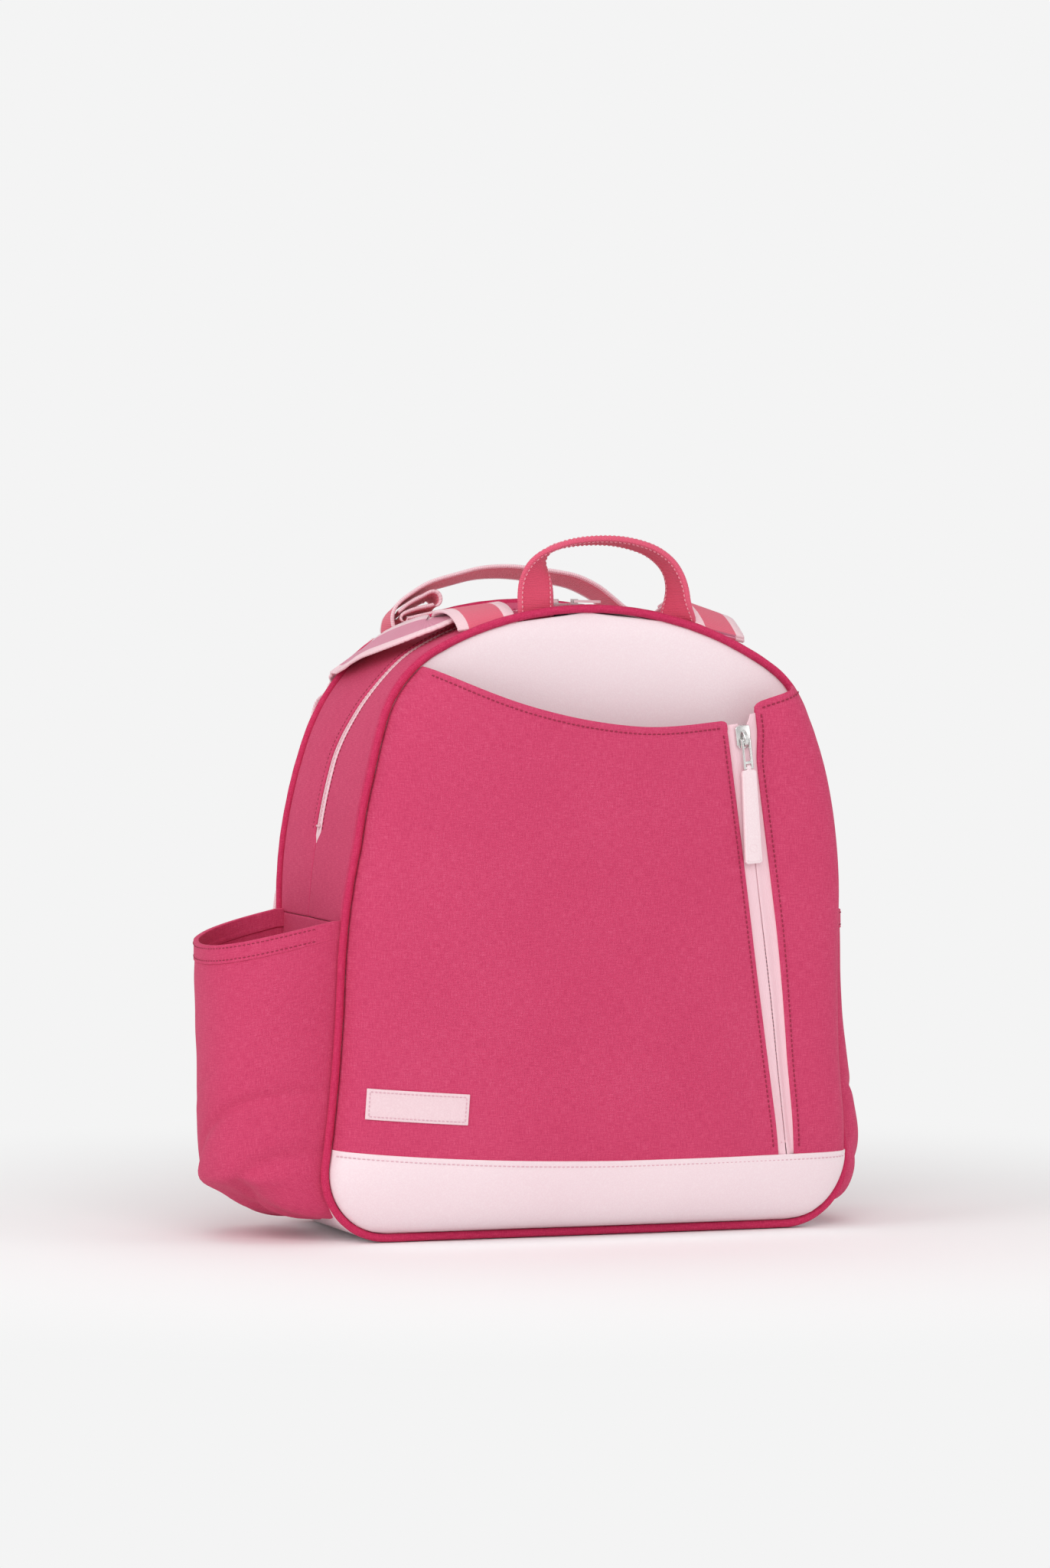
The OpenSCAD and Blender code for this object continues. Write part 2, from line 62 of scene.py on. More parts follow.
class Mat:
    """Small helper that keeps node building short."""

    def __init__(self, name):
        self.m = bpy.data.materials.new(name)
        self.m.use_nodes = True
        self.nt = self.m.node_tree
        self.nt.nodes.clear()
        self.out = _n(self.nt, "ShaderNodeOutputMaterial", 900, 0)
        self.b = _n(self.nt, "ShaderNodeBsdfPrincipled", 600, 0)
        self.nt.links.new(self.b.outputs[0], self.out.inputs[0])

    def link(self, a, b):
        self.nt.links.new(a, b)

    def math(self, op, a, b=None, c=None):
        n = _n(self.nt, "ShaderNodeMath", operation=op)
        for i, v in enumerate((a, b, c)):
            if v is None:
                continue
            if isinstance(v, (int, float)):
                n.inputs[i].default_value = v
            else:
                self.link(v, n.inputs[i])
        return n.outputs[0]

    def uv(self):
        n = _n(self.nt, "ShaderNodeUVMap", uv_map="UVMap")
        s = _n(self.nt, "ShaderNodeSeparateXYZ")
        self.link(n.outputs[0], s.inputs[0])
        return n.outputs[0], s.outputs[0], s.outputs[1]

    def obj(self):
        n = _n(self.nt, "ShaderNodeTexCoord")
        return n.outputs["Object"]

    def noise(self, vec, scale, detail=2.0, rough=0.5, dist=0.0):
        n = _n(self.nt, "ShaderNodeTexNoise")
        n.inputs["Scale"].default_value = scale
        n.inputs["Detail"].default_value = detail
        n.inputs["Roughness"].default_value = rough
        n.inputs["Distortion"].default_value = dist
        self.link(vec, n.inputs["Vector"])
        return n.outputs[0]

    def voronoi(self, vec, scale, feature="F1"):
        n = _n(self.nt, "ShaderNodeTexVoronoi", feature=feature)
        n.inputs["Scale"].default_value = scale
        self.link(vec, n.inputs["Vector"])
        return n.outputs["Distance"]

    def mix(self, fac, a, b):
        n = _n(self.nt, "ShaderNodeMix", data_type="RGBA")
        for sock, v in ((n.inputs[0], fac), (n.inputs[6], a), (n.inputs[7], b)):
            if isinstance(v, (tuple, list)):
                sock.default_value = v
            elif isinstance(v, (int, float)):
                sock.default_value = v
            else:
                self.link(v, sock)
        return n.outputs[2]

    def ramp(self, fac, lo, hi):
        n = _n(self.nt, "ShaderNodeMapRange")
        n.inputs[1].default_value = lo
        n.inputs[2].default_value = hi
        self.link(fac, n.inputs[0])
        return n.outputs[0]

    def bump(self, height, strength, dist, normal=None):
        n = _n(self.nt, "ShaderNodeBump")
        n.inputs["Strength"].default_value = strength
        n.inputs["Distance"].default_value = dist
        self.link(height, n.inputs["Height"])
        if normal is not None:
            self.link(normal, n.inputs["Normal"])
        return n.outputs[0]


def canvas(name, dark, mid, light, pitch=0.62, rough=0.86, bump=0.35, sheen=0.06, sheen_tint=(1, 0.7, 0.8, 1)):
    """Plain-woven cloth with slubs and a slightly mottled dye."""
    k = Mat(name)
    uvv, u, v = k.uv()
    wob = k.noise(uvv, 0.35, 2.0, 0.5)
    wu = k.math("ADD", u, k.math("MULTIPLY", wob, 0.5))
    a = k.math("SINE", k.math("MULTIPLY", wu, 2 * math.pi / pitch))
    b = k.math("SINE", k.math("MULTIPLY", v, 2 * math.pi / pitch))
    weave = k.math("MULTIPLY", a, b)
    tw = k.math("SINE", k.math("MULTIPLY", k.math("ADD", wu, v), 2 * math.pi / (pitch * 2.1)))
    h = k.math("ADD", k.math("MULTIPLY", weave, 0.5), k.math("MULTIPLY", tw, 0.22))
    # slubs: threads that vary along the warp and along the weft
    mp = _n(k.nt, "ShaderNodeMapping")
    mp.inputs["Scale"].default_value = (2.2, 0.16, 1)
    k.link(uvv, mp.inputs[0])
    s1 = k.noise(mp.outputs[0], 1.0, 2.0, 0.6)
    mp2 = _n(k.nt, "ShaderNodeMapping")
    mp2.inputs["Scale"].default_value = (0.16, 2.2, 1)
    k.link(uvv, mp2.inputs[0])
    s2 = k.noise(mp2.outputs[0], 1.0, 2.0, 0.6)
    slub = k.math("ADD", s1, s2)
    big = k.noise(k.obj(), 16.0, 3.0, 0.5)
    grain = k.noise(uvv, 1.15, 2.0, 0.65)
    f = k.math("ADD", k.math("MULTIPLY", k.math("SUBTRACT", slub, 1.0), 0.9), k.math("MULTIPLY", k.math("SUBTRACT", grain, 0.5), 0.85))
    f = k.math("ADD", f, k.math("MULTIPLY", h, 0.16))
    f = k.math("ADD", f, k.math("MULTIPLY", k.math("SUBTRACT", big, 0.5), 0.22))
    lo = k.mix(k.ramp(f, -0.55, 0.05), dark, mid)
    col = k.mix(k.ramp(f, 0.0, 0.62), lo, light)
    k.link(col, k.b.inputs["Base Color"])
    k.link(k.math("ADD", rough - 0.05, k.math("MULTIPLY", grain, 0.1)), k.b.inputs["Roughness"])
    hb = k.math("ADD", h, k.math("MULTIPLY", slub, 0.8))
    k.link(k.bump(hb, bump, 0.00025), k.b.inputs["Normal"])
    k.b.inputs["Sheen Weight"].default_value = sheen
    k.b.inputs["Sheen Roughness"].default_value = 0.45
    k.b.inputs["Sheen Tint"].default_value = sheen_tint
    k.b.inputs["Specular IOR Level"].default_value = 0.25
    return k.m


def coated(name, base, dark, rough=0.46, grain=1.05, bump=0.22):
    """Coated leather cloth: fine pebble grain, a few faint creases, soft gloss."""
    k = Mat(name)
    uvv, u, v = k.uv()
    cell = k.voronoi(uvv, grain, "F1")
    fine = k.noise(uvv, 2.6, 3.0, 0.6)
    crease = k.noise(uvv, 0.09, 3.0, 0.55, 0.6)
    big = k.noise(k.obj(), 9.0, 2.0, 0.5)
    h = k.math("ADD", k.math("MULTIPLY", cell, 0.7), k.math("MULTIPLY", fine, 0.45))
    c = k.mix(k.ramp(k.math("ADD", k.math("MULTIPLY", cell, 0.55), k.math("MULTIPLY", big, 0.7)), 0.15, 0.95), dark, base)
    k.link(c, k.b.inputs["Base Color"])
    k.link(k.math("ADD", rough - 0.06, k.math("MULTIPLY", fine, 0.14)), k.b.inputs["Roughness"])
    n1 = k.bump(h, bump, 0.00022)
    n2 = k.bump(crease, 0.1, 0.0012, n1)
    k.link(n2, k.b.inputs["Normal"])
    k.b.inputs["Coat Weight"].default_value = 0.06
    k.b.inputs["Coat Roughness"].default_value = 0.35
    k.b.inputs["Specular IOR Level"].default_value = 0.4
    return k.m


def webbing(name, centre, edge, wid, stripe, rib=1.3, rough=0.8, line=None):
    """Ribbed webbing with woven selvedges in another colour. UV is in millimetres: x along, y across from the middle."""
    k = Mat(name)
    uvv, u, v = k.uv()
    av = k.math("ABSOLUTE", v)
    ribs = k.math("ABSOLUTE", k.math("SINE", k.math("MULTIPLY", u, math.pi / rib)))
    cross = k.math("ABSOLUTE", k.math("SINE", k.math("MULTIPLY", v, math.pi / 0.9)))
    h = k.math("ADD", k.math("MULTIPLY", ribs, 0.75), k.math("MULTIPLY", cross, 0.35))
    g = k.noise(uvv, 1.3, 2.0, 0.6)
    wav = k.math("ADD", av, k.math("MULTIPLY", k.math("SUBTRACT", g, 0.5), 0.5))
    e = k.ramp(wav, wid / 2 - stripe - 0.25, wid / 2 - stripe + 0.25)
    shade = k.mix(k.ramp(k.math("ADD", k.math("MULTIPLY", h, 0.5), k.math("MULTIPLY", g, 0.8)), 0.15, 1.0), tuple(c * 0.72 for c in centre[:3]) + (1,), centre)
    shade2 = k.mix(k.ramp(k.math("ADD", k.math("MULTIPLY", h, 0.5), k.math("MULTIPLY", g, 0.8)), 0.15, 1.0), tuple(c * 0.86 for c in edge[:3]) + (1,), edge)
    col = k.mix(e, shade, shade2)
    if line is not None:
        inner = k.ramp(wav, wid / 2 - stripe - 2.6, wid / 2 - stripe - 2.1)
        ring = k.math("MULTIPLY", inner, k.math("SUBTRACT", 1.0, e))
        col = k.mix(k.math("MULTIPLY", ring, 0.8), col, line)
    k.link(col, k.b.inputs["Base Color"])
    k.b.inputs["Roughness"].default_value = rough
    k.link(k.bump(h, 0.6, 0.0004), k.b.inputs["Normal"])
    k.b.inputs["Sheen Weight"].default_value = 0.2
    k.b.inputs["Sheen Roughness"].default_value = 0.4
    k.b.inputs["Specular IOR Level"].default_value = 0.3
    return k.m


def knit(name, base, dark):
    """Zip tape: fine knitted wales."""
    k = Mat(name)
    uvv, u, v = k.uv()
    a = k.math("ABSOLUTE", k.math("SINE", k.math("MULTIPLY", v, math.pi / 0.75)))
    zig = k.math("ADD", u, k.math("MULTIPLY", a, 0.3))
    b = k.math("ABSOLUTE", k.math("SINE", k.math("MULTIPLY", zig, math.pi / 0.55)))
    h = k.math("ADD", k.math("MULTIPLY", a, 0.6), k.math("MULTIPLY", b, 0.4))
    g = k.noise(uvv, 1.6, 2.0, 0.6)
    col = k.mix(k.ramp(k.math("ADD", k.math("MULTIPLY", h, 0.6), k.math("MULTIPLY", g, 0.5)), 0.2, 1.0), dark, base)
    k.link(col, k.b.inputs["Base Color"])
    k.b.inputs["Roughness"].default_value = 0.78
    k.link(k.bump(h, 0.5, 0.0003), k.b.inputs["Normal"])
    k.b.inputs["Sheen Weight"].default_value = 0.2
    return k.m


def thread(name, base):
    k = Mat(name)
    o = k.obj()
    g = k.noise(o, 900.0, 2.0, 0.6)
    col = k.mix(g, tuple(c * 0.75 for c in base[:3]) + (1,), base)
    k.link(col, k.b.inputs["Base Color"])
    k.b.inputs["Roughness"].default_value = 0.6
    k.link(k.bump(g, 0.3, 0.0002), k.b.inputs["Normal"])
    return k.m


def metal(name, base, rough=0.2):
    k = Mat(name)
    o = k.obj()
    s = k.noise(o, 260.0, 4.0, 0.6)
    w = k.noise(o, 60.0, 3.0, 0.6)
    k.b.inputs["Metallic"].default_value = 1.0
    col = k.mix(w, tuple(c * 0.86 for c in base[:3]) + (1,), base)
    k.link(col, k.b.inputs["Base Color"])
    k.link(k.math("ADD", rough - 0.05, k.math("MULTIPLY", s, 0.18)), k.b.inputs["Roughness"])
    k.link(k.bump(s, 0.08, 0.0002), k.b.inputs["Normal"])
    return k.m


def plain(name, base, rough=0.7, grain=300.0, bump=0.2):
    k = Mat(name)
    o = k.obj()
    g = k.noise(o, grain, 3.0, 0.6)
    w = k.noise(o, grain / 12, 2.0, 0.5)
    col = k.mix(k.math("ADD", k.math("MULTIPLY", g, 0.5), k.math("MULTIPLY", w, 0.5)), tuple(c * 0.78 for c in base[:3]) + (1,), base)
    k.link(col, k.b.inputs["Base Color"])
    k.b.inputs["Roughness"].default_value = rough
    k.link(k.bump(g, bump, 0.0004), k.b.inputs["Normal"])
    return k.m


RASP_D, RASP_M, RASP_L = srgb(182, 46, 88), srgb(205, 65, 105), srgb(222, 98, 134)
M_CANVAS = canvas("raspberry_canvas", RASP_D, RASP_M, RASP_L)
M_PIPE = canvas("piping_cloth", srgb(170, 28, 72), srgb(200, 44, 90), srgb(220, 84, 122), pitch=0.7, bump=0.3)
M_PALE = coated("pale_leather", srgb(245, 228, 232), srgb(239, 216, 222))
M_LABEL = coated("pale_leather_label", srgb(238, 212, 217), srgb(228, 196, 203))
M_TAB = coated("pale_leather_tab", srgb(246, 228, 231), srgb(238, 210, 216), rough=0.4, grain=1.3, bump=0.12)
M_HANDLE = webbing("handle_webbing", srgb(224, 80, 110), srgb(229, 94, 122), 24, 2.6, rib=1.1)
CORAL, MAUVE, PALE_E = srgb(234, 104, 128), srgb(226, 142, 168), srgb(250, 212, 219)
M_STRAP = webbing("strap_top", CORAL, PALE_E, 38, 7.0, rib=1.3)
M_STRAP_U = webbing("strap_under", MAUVE, PALE_E, 38, 7.0, rib=1.3)
M_STRAP_E = webbing("strap_edge", PALE_E, PALE_E, 38, 2.0, rib=1.3)
M_LOOP = webbing("loop_top", CORAL, PALE_E, 25, 2.4, rib=1.3)
M_LOOP_U = webbing("loop_under", srgb(236, 126, 146), PALE_E, 25, 2.4, rib=1.3)
M_TAPE = knit("zip_tape", srgb(248, 216, 223), srgb(240, 194, 204))
M_COIL = plain("zip_coil", srgb(247, 196, 205), 0.5, 500.0)
M_TH_R = thread("thread_raspberry", srgb(158, 30, 68))
M_TH_P = thread("thread_pale", srgb(236, 190, 202))
M_TH_C = thread("thread_coral", srgb(247, 158, 174))
M_METAL = metal("silver_metal", (0.80, 0.79, 0.78, 1), 0.2)
M_LINING = canvas("lining_cloth", srgb(214, 176, 186), srgb(232, 200, 208), srgb(242, 218, 224), pitch=0.4, bump=0.2)
M_FOAM = plain("foam", (0.06, 0.06, 0.065, 1), 0.9, 500.0, 0.5)
M_BOARD = plain("board", (0.035, 0.035, 0.035, 1), 0.6)

# =============================================================== geometry helpers
def unit(a):
    a = np.asarray(a, float)
    return a / np.maximum(np.linalg.norm(a, axis=-1, keepdims=True), 1e-12)


def smooth(t):
    t = np.clip(t, 0, 1)
    return t * t * (3 - 2 * t)


def fbm(p, scale, seed=0.0, octaves=3):
    """Smooth noise in millimetres, one value per point, from about -1 to 1."""
    out = np.empty(len(p))
    for i, q in enumerate(p):
        v, a, s = 0.0, 1.0, 1.0 / scale
        for o in range(octaves):
            v += a * noise.noise(Vector((q[0] * s + seed, q[1] * s + 3.1 * seed, q[2] * s - seed)))
            a *= 0.5
            s *= 2.03
        out[i] = v
    return out


def mesh(name, verts, faces, uv=None, mats=(), fmat=None, smooth_on=True):
    me = bpy.data.meshes.new(name)
    me.from_pydata((np.asarray(verts, float) * MM).tolist(), [], [list(map(int, f)) for f in faces])
    for m in mats:
        me.materials.append(m)
    if uv is not None:
        lay = me.uv_layers.new(name="UVMap")
        idx = np.zeros(len(me.loops), np.int64)
        me.loops.foreach_get("vertex_index", idx)
        lay.data.foreach_set("uv", np.asarray(uv, float)[idx].reshape(-1).astype(np.float32))
    if fmat is not None:
        me.polygons.foreach_set("material_index", np.asarray(fmat, np.int32))
    me.polygons.foreach_set("use_smooth", [smooth_on] * len(me.polygons))
    me.update()
    o = bpy.data.objects.new(name, me)
    SC.collection.objects.link(o)
    return o


def apply_mods(o):
    dg = bpy.context.evaluated_depsgraph_get()
    me = bpy.data.meshes.new_from_object(o.evaluated_get(dg), preserve_all_data_layers=True, depsgraph=dg)
    old = o.data
    o.modifiers.clear()
    o.data = me
    bpy.data.meshes.remove(old)
    return o


def grid_faces(nu, nv, closed=False, flip=False):
    f = []
    w = nu if closed else nu + 1
    for j in range(nv):
        for i in range(nu):
            a = j * w + i
            b = j * w + (i + 1) % w
            c, d = b + w, a + w
            f.append((a, d, c, b) if flip else (a, b, c, d))
    return f


def shell(name, P, uv, mat, thick=2.0, out=None, round_edge=0.42, mats=None):
    """Closed cloth panel from a grid of points P[nv+1][nu+1]. out is a direction that its outside faces. Edges are rounded."""
    nv, nu = P.shape[0] - 1, P.shape[1] - 1
    du = P[nv // 2, min(nu // 2 + 1, nu)] - P[nv // 2, nu // 2]
    dv = P[min(nv // 2 + 1, nv), nu // 2] - P[nv // 2, nu // 2]
    flip = np.dot(np.cross(du, dv), out) < 0
    o = mesh(name, P.reshape(-1, 3), grid_faces(nu, nv, flip=flip), uv.reshape(-1, 2), [mat] if mats is None else mats)
    m = o.modifiers.new("s", "SOLIDIFY")
    m.thickness = thick * MM
    m.offset = -1
    m.use_even_offset = False
    m.use_rim = True
    b = o.modifiers.new("b", "BEVEL")
    b.width = thick * round_edge * MM
    b.segments = 2
    b.limit_method = "ANGLE"
    b.angle_limit = math.radians(55)
    apply_mods(o)
    o.data.polygons.foreach_set("use_smooth", [True] * len(o.data.polygons))
    return o


def catmull(pts, n):
    """n points along a smooth curve through pts, evenly spaced by length."""
    P = np.asarray(pts, float)
    P = np.vstack([2 * P[0] - P[1], P, 2 * P[-1] - P[-2]])
    out = []
    for i in range(1, len(P) - 2):
        p0, p1, p2, p3 = P[i - 1], P[i], P[i + 1], P[i + 2]
        for t in np.linspace(0, 1, 24, endpoint=False):
            out.append(0.5 * (2 * p1 + (p2 - p0) * t + (2 * p0 - 5 * p1 + 4 * p2 - p3) * t**2 + (-p0 + 3 * p1 - 3 * p2 + p3) * t**3))
    out.append(P[-2])
    return resample(np.array(out), n)


def length(p):
    return np.concatenate([[0], np.cumsum(np.linalg.norm(np.diff(p[:, :3], axis=0), axis=1))])


def resample(p, n):
    s = length(p)
    t = np.linspace(0, s[-1], n)
    return np.stack([np.interp(t, s, p[:, i]) for i in range(p.shape[1])], 1)


def frames(p, w):
    """Tangent, width and normal along a path."""
    t = np.gradient(p, axis=0)
    t = unit(t)
    w = unit(w - (w * t).sum(1, keepdims=True) * t)
    n = np.cross(t, w)
    return t, w, n


def band(name, p, w, wid, thick, mats, ribs=0.0, rib=1.3, round_e=0.45, caps=True, sag=0.0, v0=0.0):
    """Webbing: a rounded strip along p, its width along w. mats = top, underside, edge."""
    t, w, n = frames(p, w)
    s = length(p)
    K = 7
    vv = np.linspace(-1, 1, K)
    hw, ht = wid / 2, thick / 2
    # section from the left edge over the top to the right edge and back underneath
    sec = [(-hw, 0.0, 2)]
    sec += [(v * (hw - ht * 0.7), ht * (1 - 0.0 * v * v), 0) for v in vv]
    sec += [(hw, 0.0, 2)]
    sec += [(v * (hw - ht * 0.7), -ht, 1) for v in vv[::-1]]
    M = len(sec)
    rings = []
    mod = 1 + 0 * s
    serr = ribs * np.abs(np.sin(math.pi * s / rib))
    for i in range(len(p)):
        ring = []
        for (a, b, k) in sec:
            aa = a + math.copysign(serr[i], a) * (1 if abs(a) > hw * 0.8 else 0)
            bb = b * (1 + (0.25 * serr[i] / max(ht, 0.1)))
            bb += -sag * (a / hw) ** 2
            ring.append(p[i] + w[i] * aa + n[i] * bb)
        rings.append(ring)
    V = np.array(rings).reshape(-1, 3)
    uv = np.array([[(s[i], a + v0) for (a, b, k) in sec] for i in range(len(p))]).reshape(-1, 2)
    F, FM = [], []
    for i in range(len(p) - 1):
        for j in range(M):
            a, b = i * M + j, i * M + (j + 1) % M
            F.append((a, b, b + M, a + M))
            # faces 0 and K, K+1 touch the edges
            if 1 <= j < K:
                FM.append(0)
            elif K + 2 <= j < 2 * K + 1:
                FM.append(1)
            else:
                FM.append(2)
    if caps:
        F.append(tuple(range(M))[::-1])
        F.append(tuple((len(p) - 1) * M + j for j in range(M)))
        FM += [0, 0]
    F = [tuple(f[::-1]) for f in F]
    return mesh(name, V, F, uv, list(mats), FM)


def tube(name, p, r, mat, sides=12, closed=False, up=None, uvscale=1.0, rr=None):
    p = np.asarray(p, float)
    if closed:
        t = unit(np.roll(p, -1, 0) - np.roll(p, 1, 0))
    else:
        t = unit(np.gradient(p, axis=0))
    up = np.array(up if up is not None else (0, 1.0, 0))
    a = unit(np.cross(t, up))
    b = np.cross(a, t)
    s = length(np.vstack([p, p[:1]])) if closed else length(p)
    V, uv = [], []
    for i in range(len(p)):
        rad = r if rr is None else rr[i]
        for j in range(sides):
            th = 2 * math.pi * j / sides
            V.append(p[i] + rad * (math.cos(th) * a[i] + math.sin(th) * b[i]))
            uv.append((s[i], rad * th))
    F = []
    n = len(p)
    for i in range(n if closed else n - 1):
        for j in range(sides):
            q, q2 = i * sides + j, i * sides + (j + 1) % sides
            r1, r2 = ((i + 1) % n) * sides + j, ((i + 1) % n) * sides + (j + 1) % sides
            F.append((q, r1, r2, q2))
    if not closed:
        F.append(tuple(range(sides)))
        F.append(tuple((n - 1) * sides + j for j in range(sides))[::-1])
    o = mesh(name, V, F, uv, [mat])
    fix_normals(o)
    return o


def fix_normals(o):
    bm = bmesh.new()
    bm.from_mesh(o.data)
    bmesh.ops.recalc_face_normals(bm, faces=bm.faces)
    bm.to_mesh(o.data)
    bm.free()


def stitches(name, p, nrm, mat, pitch=3.2, size=2.3, r=0.34, lift=0.12):
    """A row of thread stitches along p, lying on the surface whose normal is nrm."""
    s = length(p)
    n = max(int(s[-1] / pitch), 1)
    V, F, uv = [], [], []
    for k in range(n):
        c = (k + 0.5) * s[-1] / n
        ts = np.clip(c + np.array([-0.5, -0.36, 0.0, 0.36, 0.5]) * size, 0, s[-1])
        q = np.stack([np.interp(ts, s, p[:, i]) for i in range(3)], 1)
        nn = unit(np.stack([np.interp(ts, s, nrm[:, i]) for i in range(3)], 1))
        tt = unit(np.gradient(q, axis=0) + 1e-9)
        side = unit(np.cross(tt, nn))
        rad = r * np.array([0.35, 0.85, 1.0, 0.85, 0.35])
        hh = np.array([-0.28, 0.0, 0.12, 0.0, -0.28]) + lift
        base = len(V)
        for i in range(5):
            for j in range(6):
                th = 2 * math.pi * j / 6
                V.append(q[i] + nn[i] * (hh[i] + rad[i] * math.sin(th)) + side[i] * rad[i] * math.cos(th))
                uv.append((ts[i], th))
        for i in range(4):
            for j in range(6):
                a, b = base + i * 6 + j, base + i * 6 + (j + 1) % 6
                F.append((a, b, b + 6, a + 6))
        F.append(tuple(base + j for j in range(6))[::-1])
        F.append(tuple(base + 24 + j for j in range(6)))
    o = mesh(name, np.array(V), F, np.array(uv), [mat])
    fix_normals(o)
    return o


def put(o, body, slot, *nodes, blend=None):
    if blend is None:
        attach(o, body)
    else:
        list(blend[:2])
        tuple(blend[2])
        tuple(blend[3])
        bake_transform(o)
    if nodes:
        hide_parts(*nodes)
        REPLACED.update(nodes)
    return o


def box_piece(name, lo, hi, mat, bevel=0.6, seg=3, M=None, taper=None):
    lo, hi = np.array(lo, float), np.array(hi, float)
    V = np.array([[x, y, z] for x in (lo[0], hi[0]) for y in (lo[1], hi[1]) for z in (lo[2], hi[2])])
    F = [(0, 1, 3, 2), (4, 6, 7, 5), (0, 4, 5, 1), (2, 3, 7, 6), (0, 2, 6, 4), (1, 5, 7, 3)]
    o = mesh(name, V, F, None, [mat])
    fix_normals(o)
    b = o.modifiers.new("b", "BEVEL")
    b.width = bevel * MM
    b.segments = seg
    b.limit_method = "NONE"
    apply_mods(o)
    o.data.polygons.foreach_set("use_smooth", [True] * len(o.data.polygons))
    if M is not None:
        o.data.transform(M)
    return o


def extrude_outline(name, pts, z0, z1, mat, bevel=0.5, seg=3, holes=()):
    """Plate from a 2D outline (list of x, y), extruded along z, with rounded edges. holes are more outlines."""
    bm = bmesh.new()

    def ring(ps):
        vs = [bm.verts.new((x * MM, y * MM, z0 * MM)) for x, y in ps]
        return [bm.edges.new((vs[i], vs[(i + 1) % len(vs)])) for i in range(len(vs))]

    es = ring(pts)
    for h in holes:
        es += ring(h)
    res = bmesh.ops.triangle_fill(bm, edges=es, use_beauty=True)
    faces = [g for g in res["geom"] if isinstance(g, bmesh.types.BMFace)]
    ext = bmesh.ops.extrude_face_region(bm, geom=faces)
    vs = [g for g in ext["geom"] if isinstance(g, bmesh.types.BMVert)]
    bmesh.ops.translate(bm, verts=vs, vec=(0, 0, (z1 - z0) * MM))
    bmesh.ops.recalc_face_normals(bm, faces=bm.faces)
    me = bpy.data.meshes.new(name)
    bm.to_mesh(me)
    bm.free()
    me.materials.append(mat)
    lay = me.uv_layers.new(name="UVMap")
    for l in me.loops:
        c = me.vertices[l.vertex_index].co
        lay.data[l.index].uv = (c.x / MM, c.y / MM)
    o = bpy.data.objects.new(name, me)
    SC.collection.objects.link(o)
    b = o.modifiers.new("b", "BEVEL")
    b.width = bevel * MM
    b.segments = seg
    b.limit_method = "ANGLE"
    b.angle_limit = math.radians(40)
    apply_mods(o)
    o.data.polygons.foreach_set("use_smooth", [True] * len(o.data.polygons))
    return o


def join(name, objs):
    """One object from several, materials kept."""
    bm = bmesh.new()
    mats = []
    me = bpy.data.meshes.new(name)
    for o in objs:
        for m in o.data.materials:
            if m not in mats:
                mats.append(m)
    for m in mats:
        me.materials.append(m)
    for o in objs:
        n0 = len(bm.faces)
        if not o.data.uv_layers:
            lay = o.data.uv_layers.new(name="UVMap")
            for l in o.data.loops:
                c = o.data.vertices[l.vertex_index].co
                lay.data[l.index].uv = ((c.x + c.y) / MM, (c.z + c.y) / MM)
        bm.from_mesh(o.data)
        bm.faces.ensure_lookup_table()
        remap = [mats.index(m) for m in o.data.materials] or [0]
        for f in bm.faces[n0:]:
            f.material_index = remap[min(f.material_index, len(remap) - 1)]
    bm.to_mesh(me)
    bm.free()
    for o in objs:
        bpy.data.objects.remove(o)
    r = bpy.data.objects.new(name, me)
    SC.collection.objects.link(r)
    return r


# =============================================================== outline of the arch
YF, YR = -75.0, 62.0


def _arc(cx, cz, r, a0, a1, concave=False, step=2.5):
    n = max(int(abs(math.radians(a1 - a0)) * r / step), 3)
    a = np.radians(np.linspace(a0, a1, n + 1))[1:]
    k = -1 if concave else 1
    return np.stack([cx + r * np.cos(a), cz + r * np.sin(a), k * np.cos(a), k * np.sin(a)], 1)


_b = np.stack([np.linspace(0, 134.5, 54), np.zeros(54), np.zeros(54), -np.ones(54)], 1)
_right = np.vstack([_b, _arc(134.5, 44, 44, -90, 7.8), _arc(1357.1, 211.2, 1190, 187.8, 180, True), _arc(-162.9, 211.2, 330, 0, 22), _arc(64.3, 303, 85, 22, 62), _arc(0, 182, 222, 62, 90)])
_left = _right[::-1][1:-1] * np.array([-1, 1, -1, 1])
OUT = np.vstack([_right, _left])
OUTS = np.concatenate([[0], np.cumsum(np.linalg.norm(np.diff(np.vstack([OUT[:, :2], OUT[:1, :2]]), axis=0), axis=1))])
PERIM = OUTS[-1]
_OX = np.vstack([OUT, OUT[:1]])


def at(s):
    """Outline x, z and outward normal at arc length s from the middle of the base, going right."""
    s = np.mod(s, PERIM)
    r = np.stack([np.interp(s, OUTS, _OX[:, i]) for i in range(4)], -1)
    r[..., 2:] = unit(r[..., 2:])
    return r


def s_at(z, side=1):
    """Arc length at which the outline passes height z on one side."""
    i = np.argmax(_right[:, 1] >= z - 1e-9) if z > 0 else 0
    s = OUTS[i] - (_right[i, 1] - z) / max(_right[i, 1] - _right[i - 1, 1], 1e-9) * (OUTS[i] - OUTS[i - 1])
    return s if side > 0 else PERIM - s


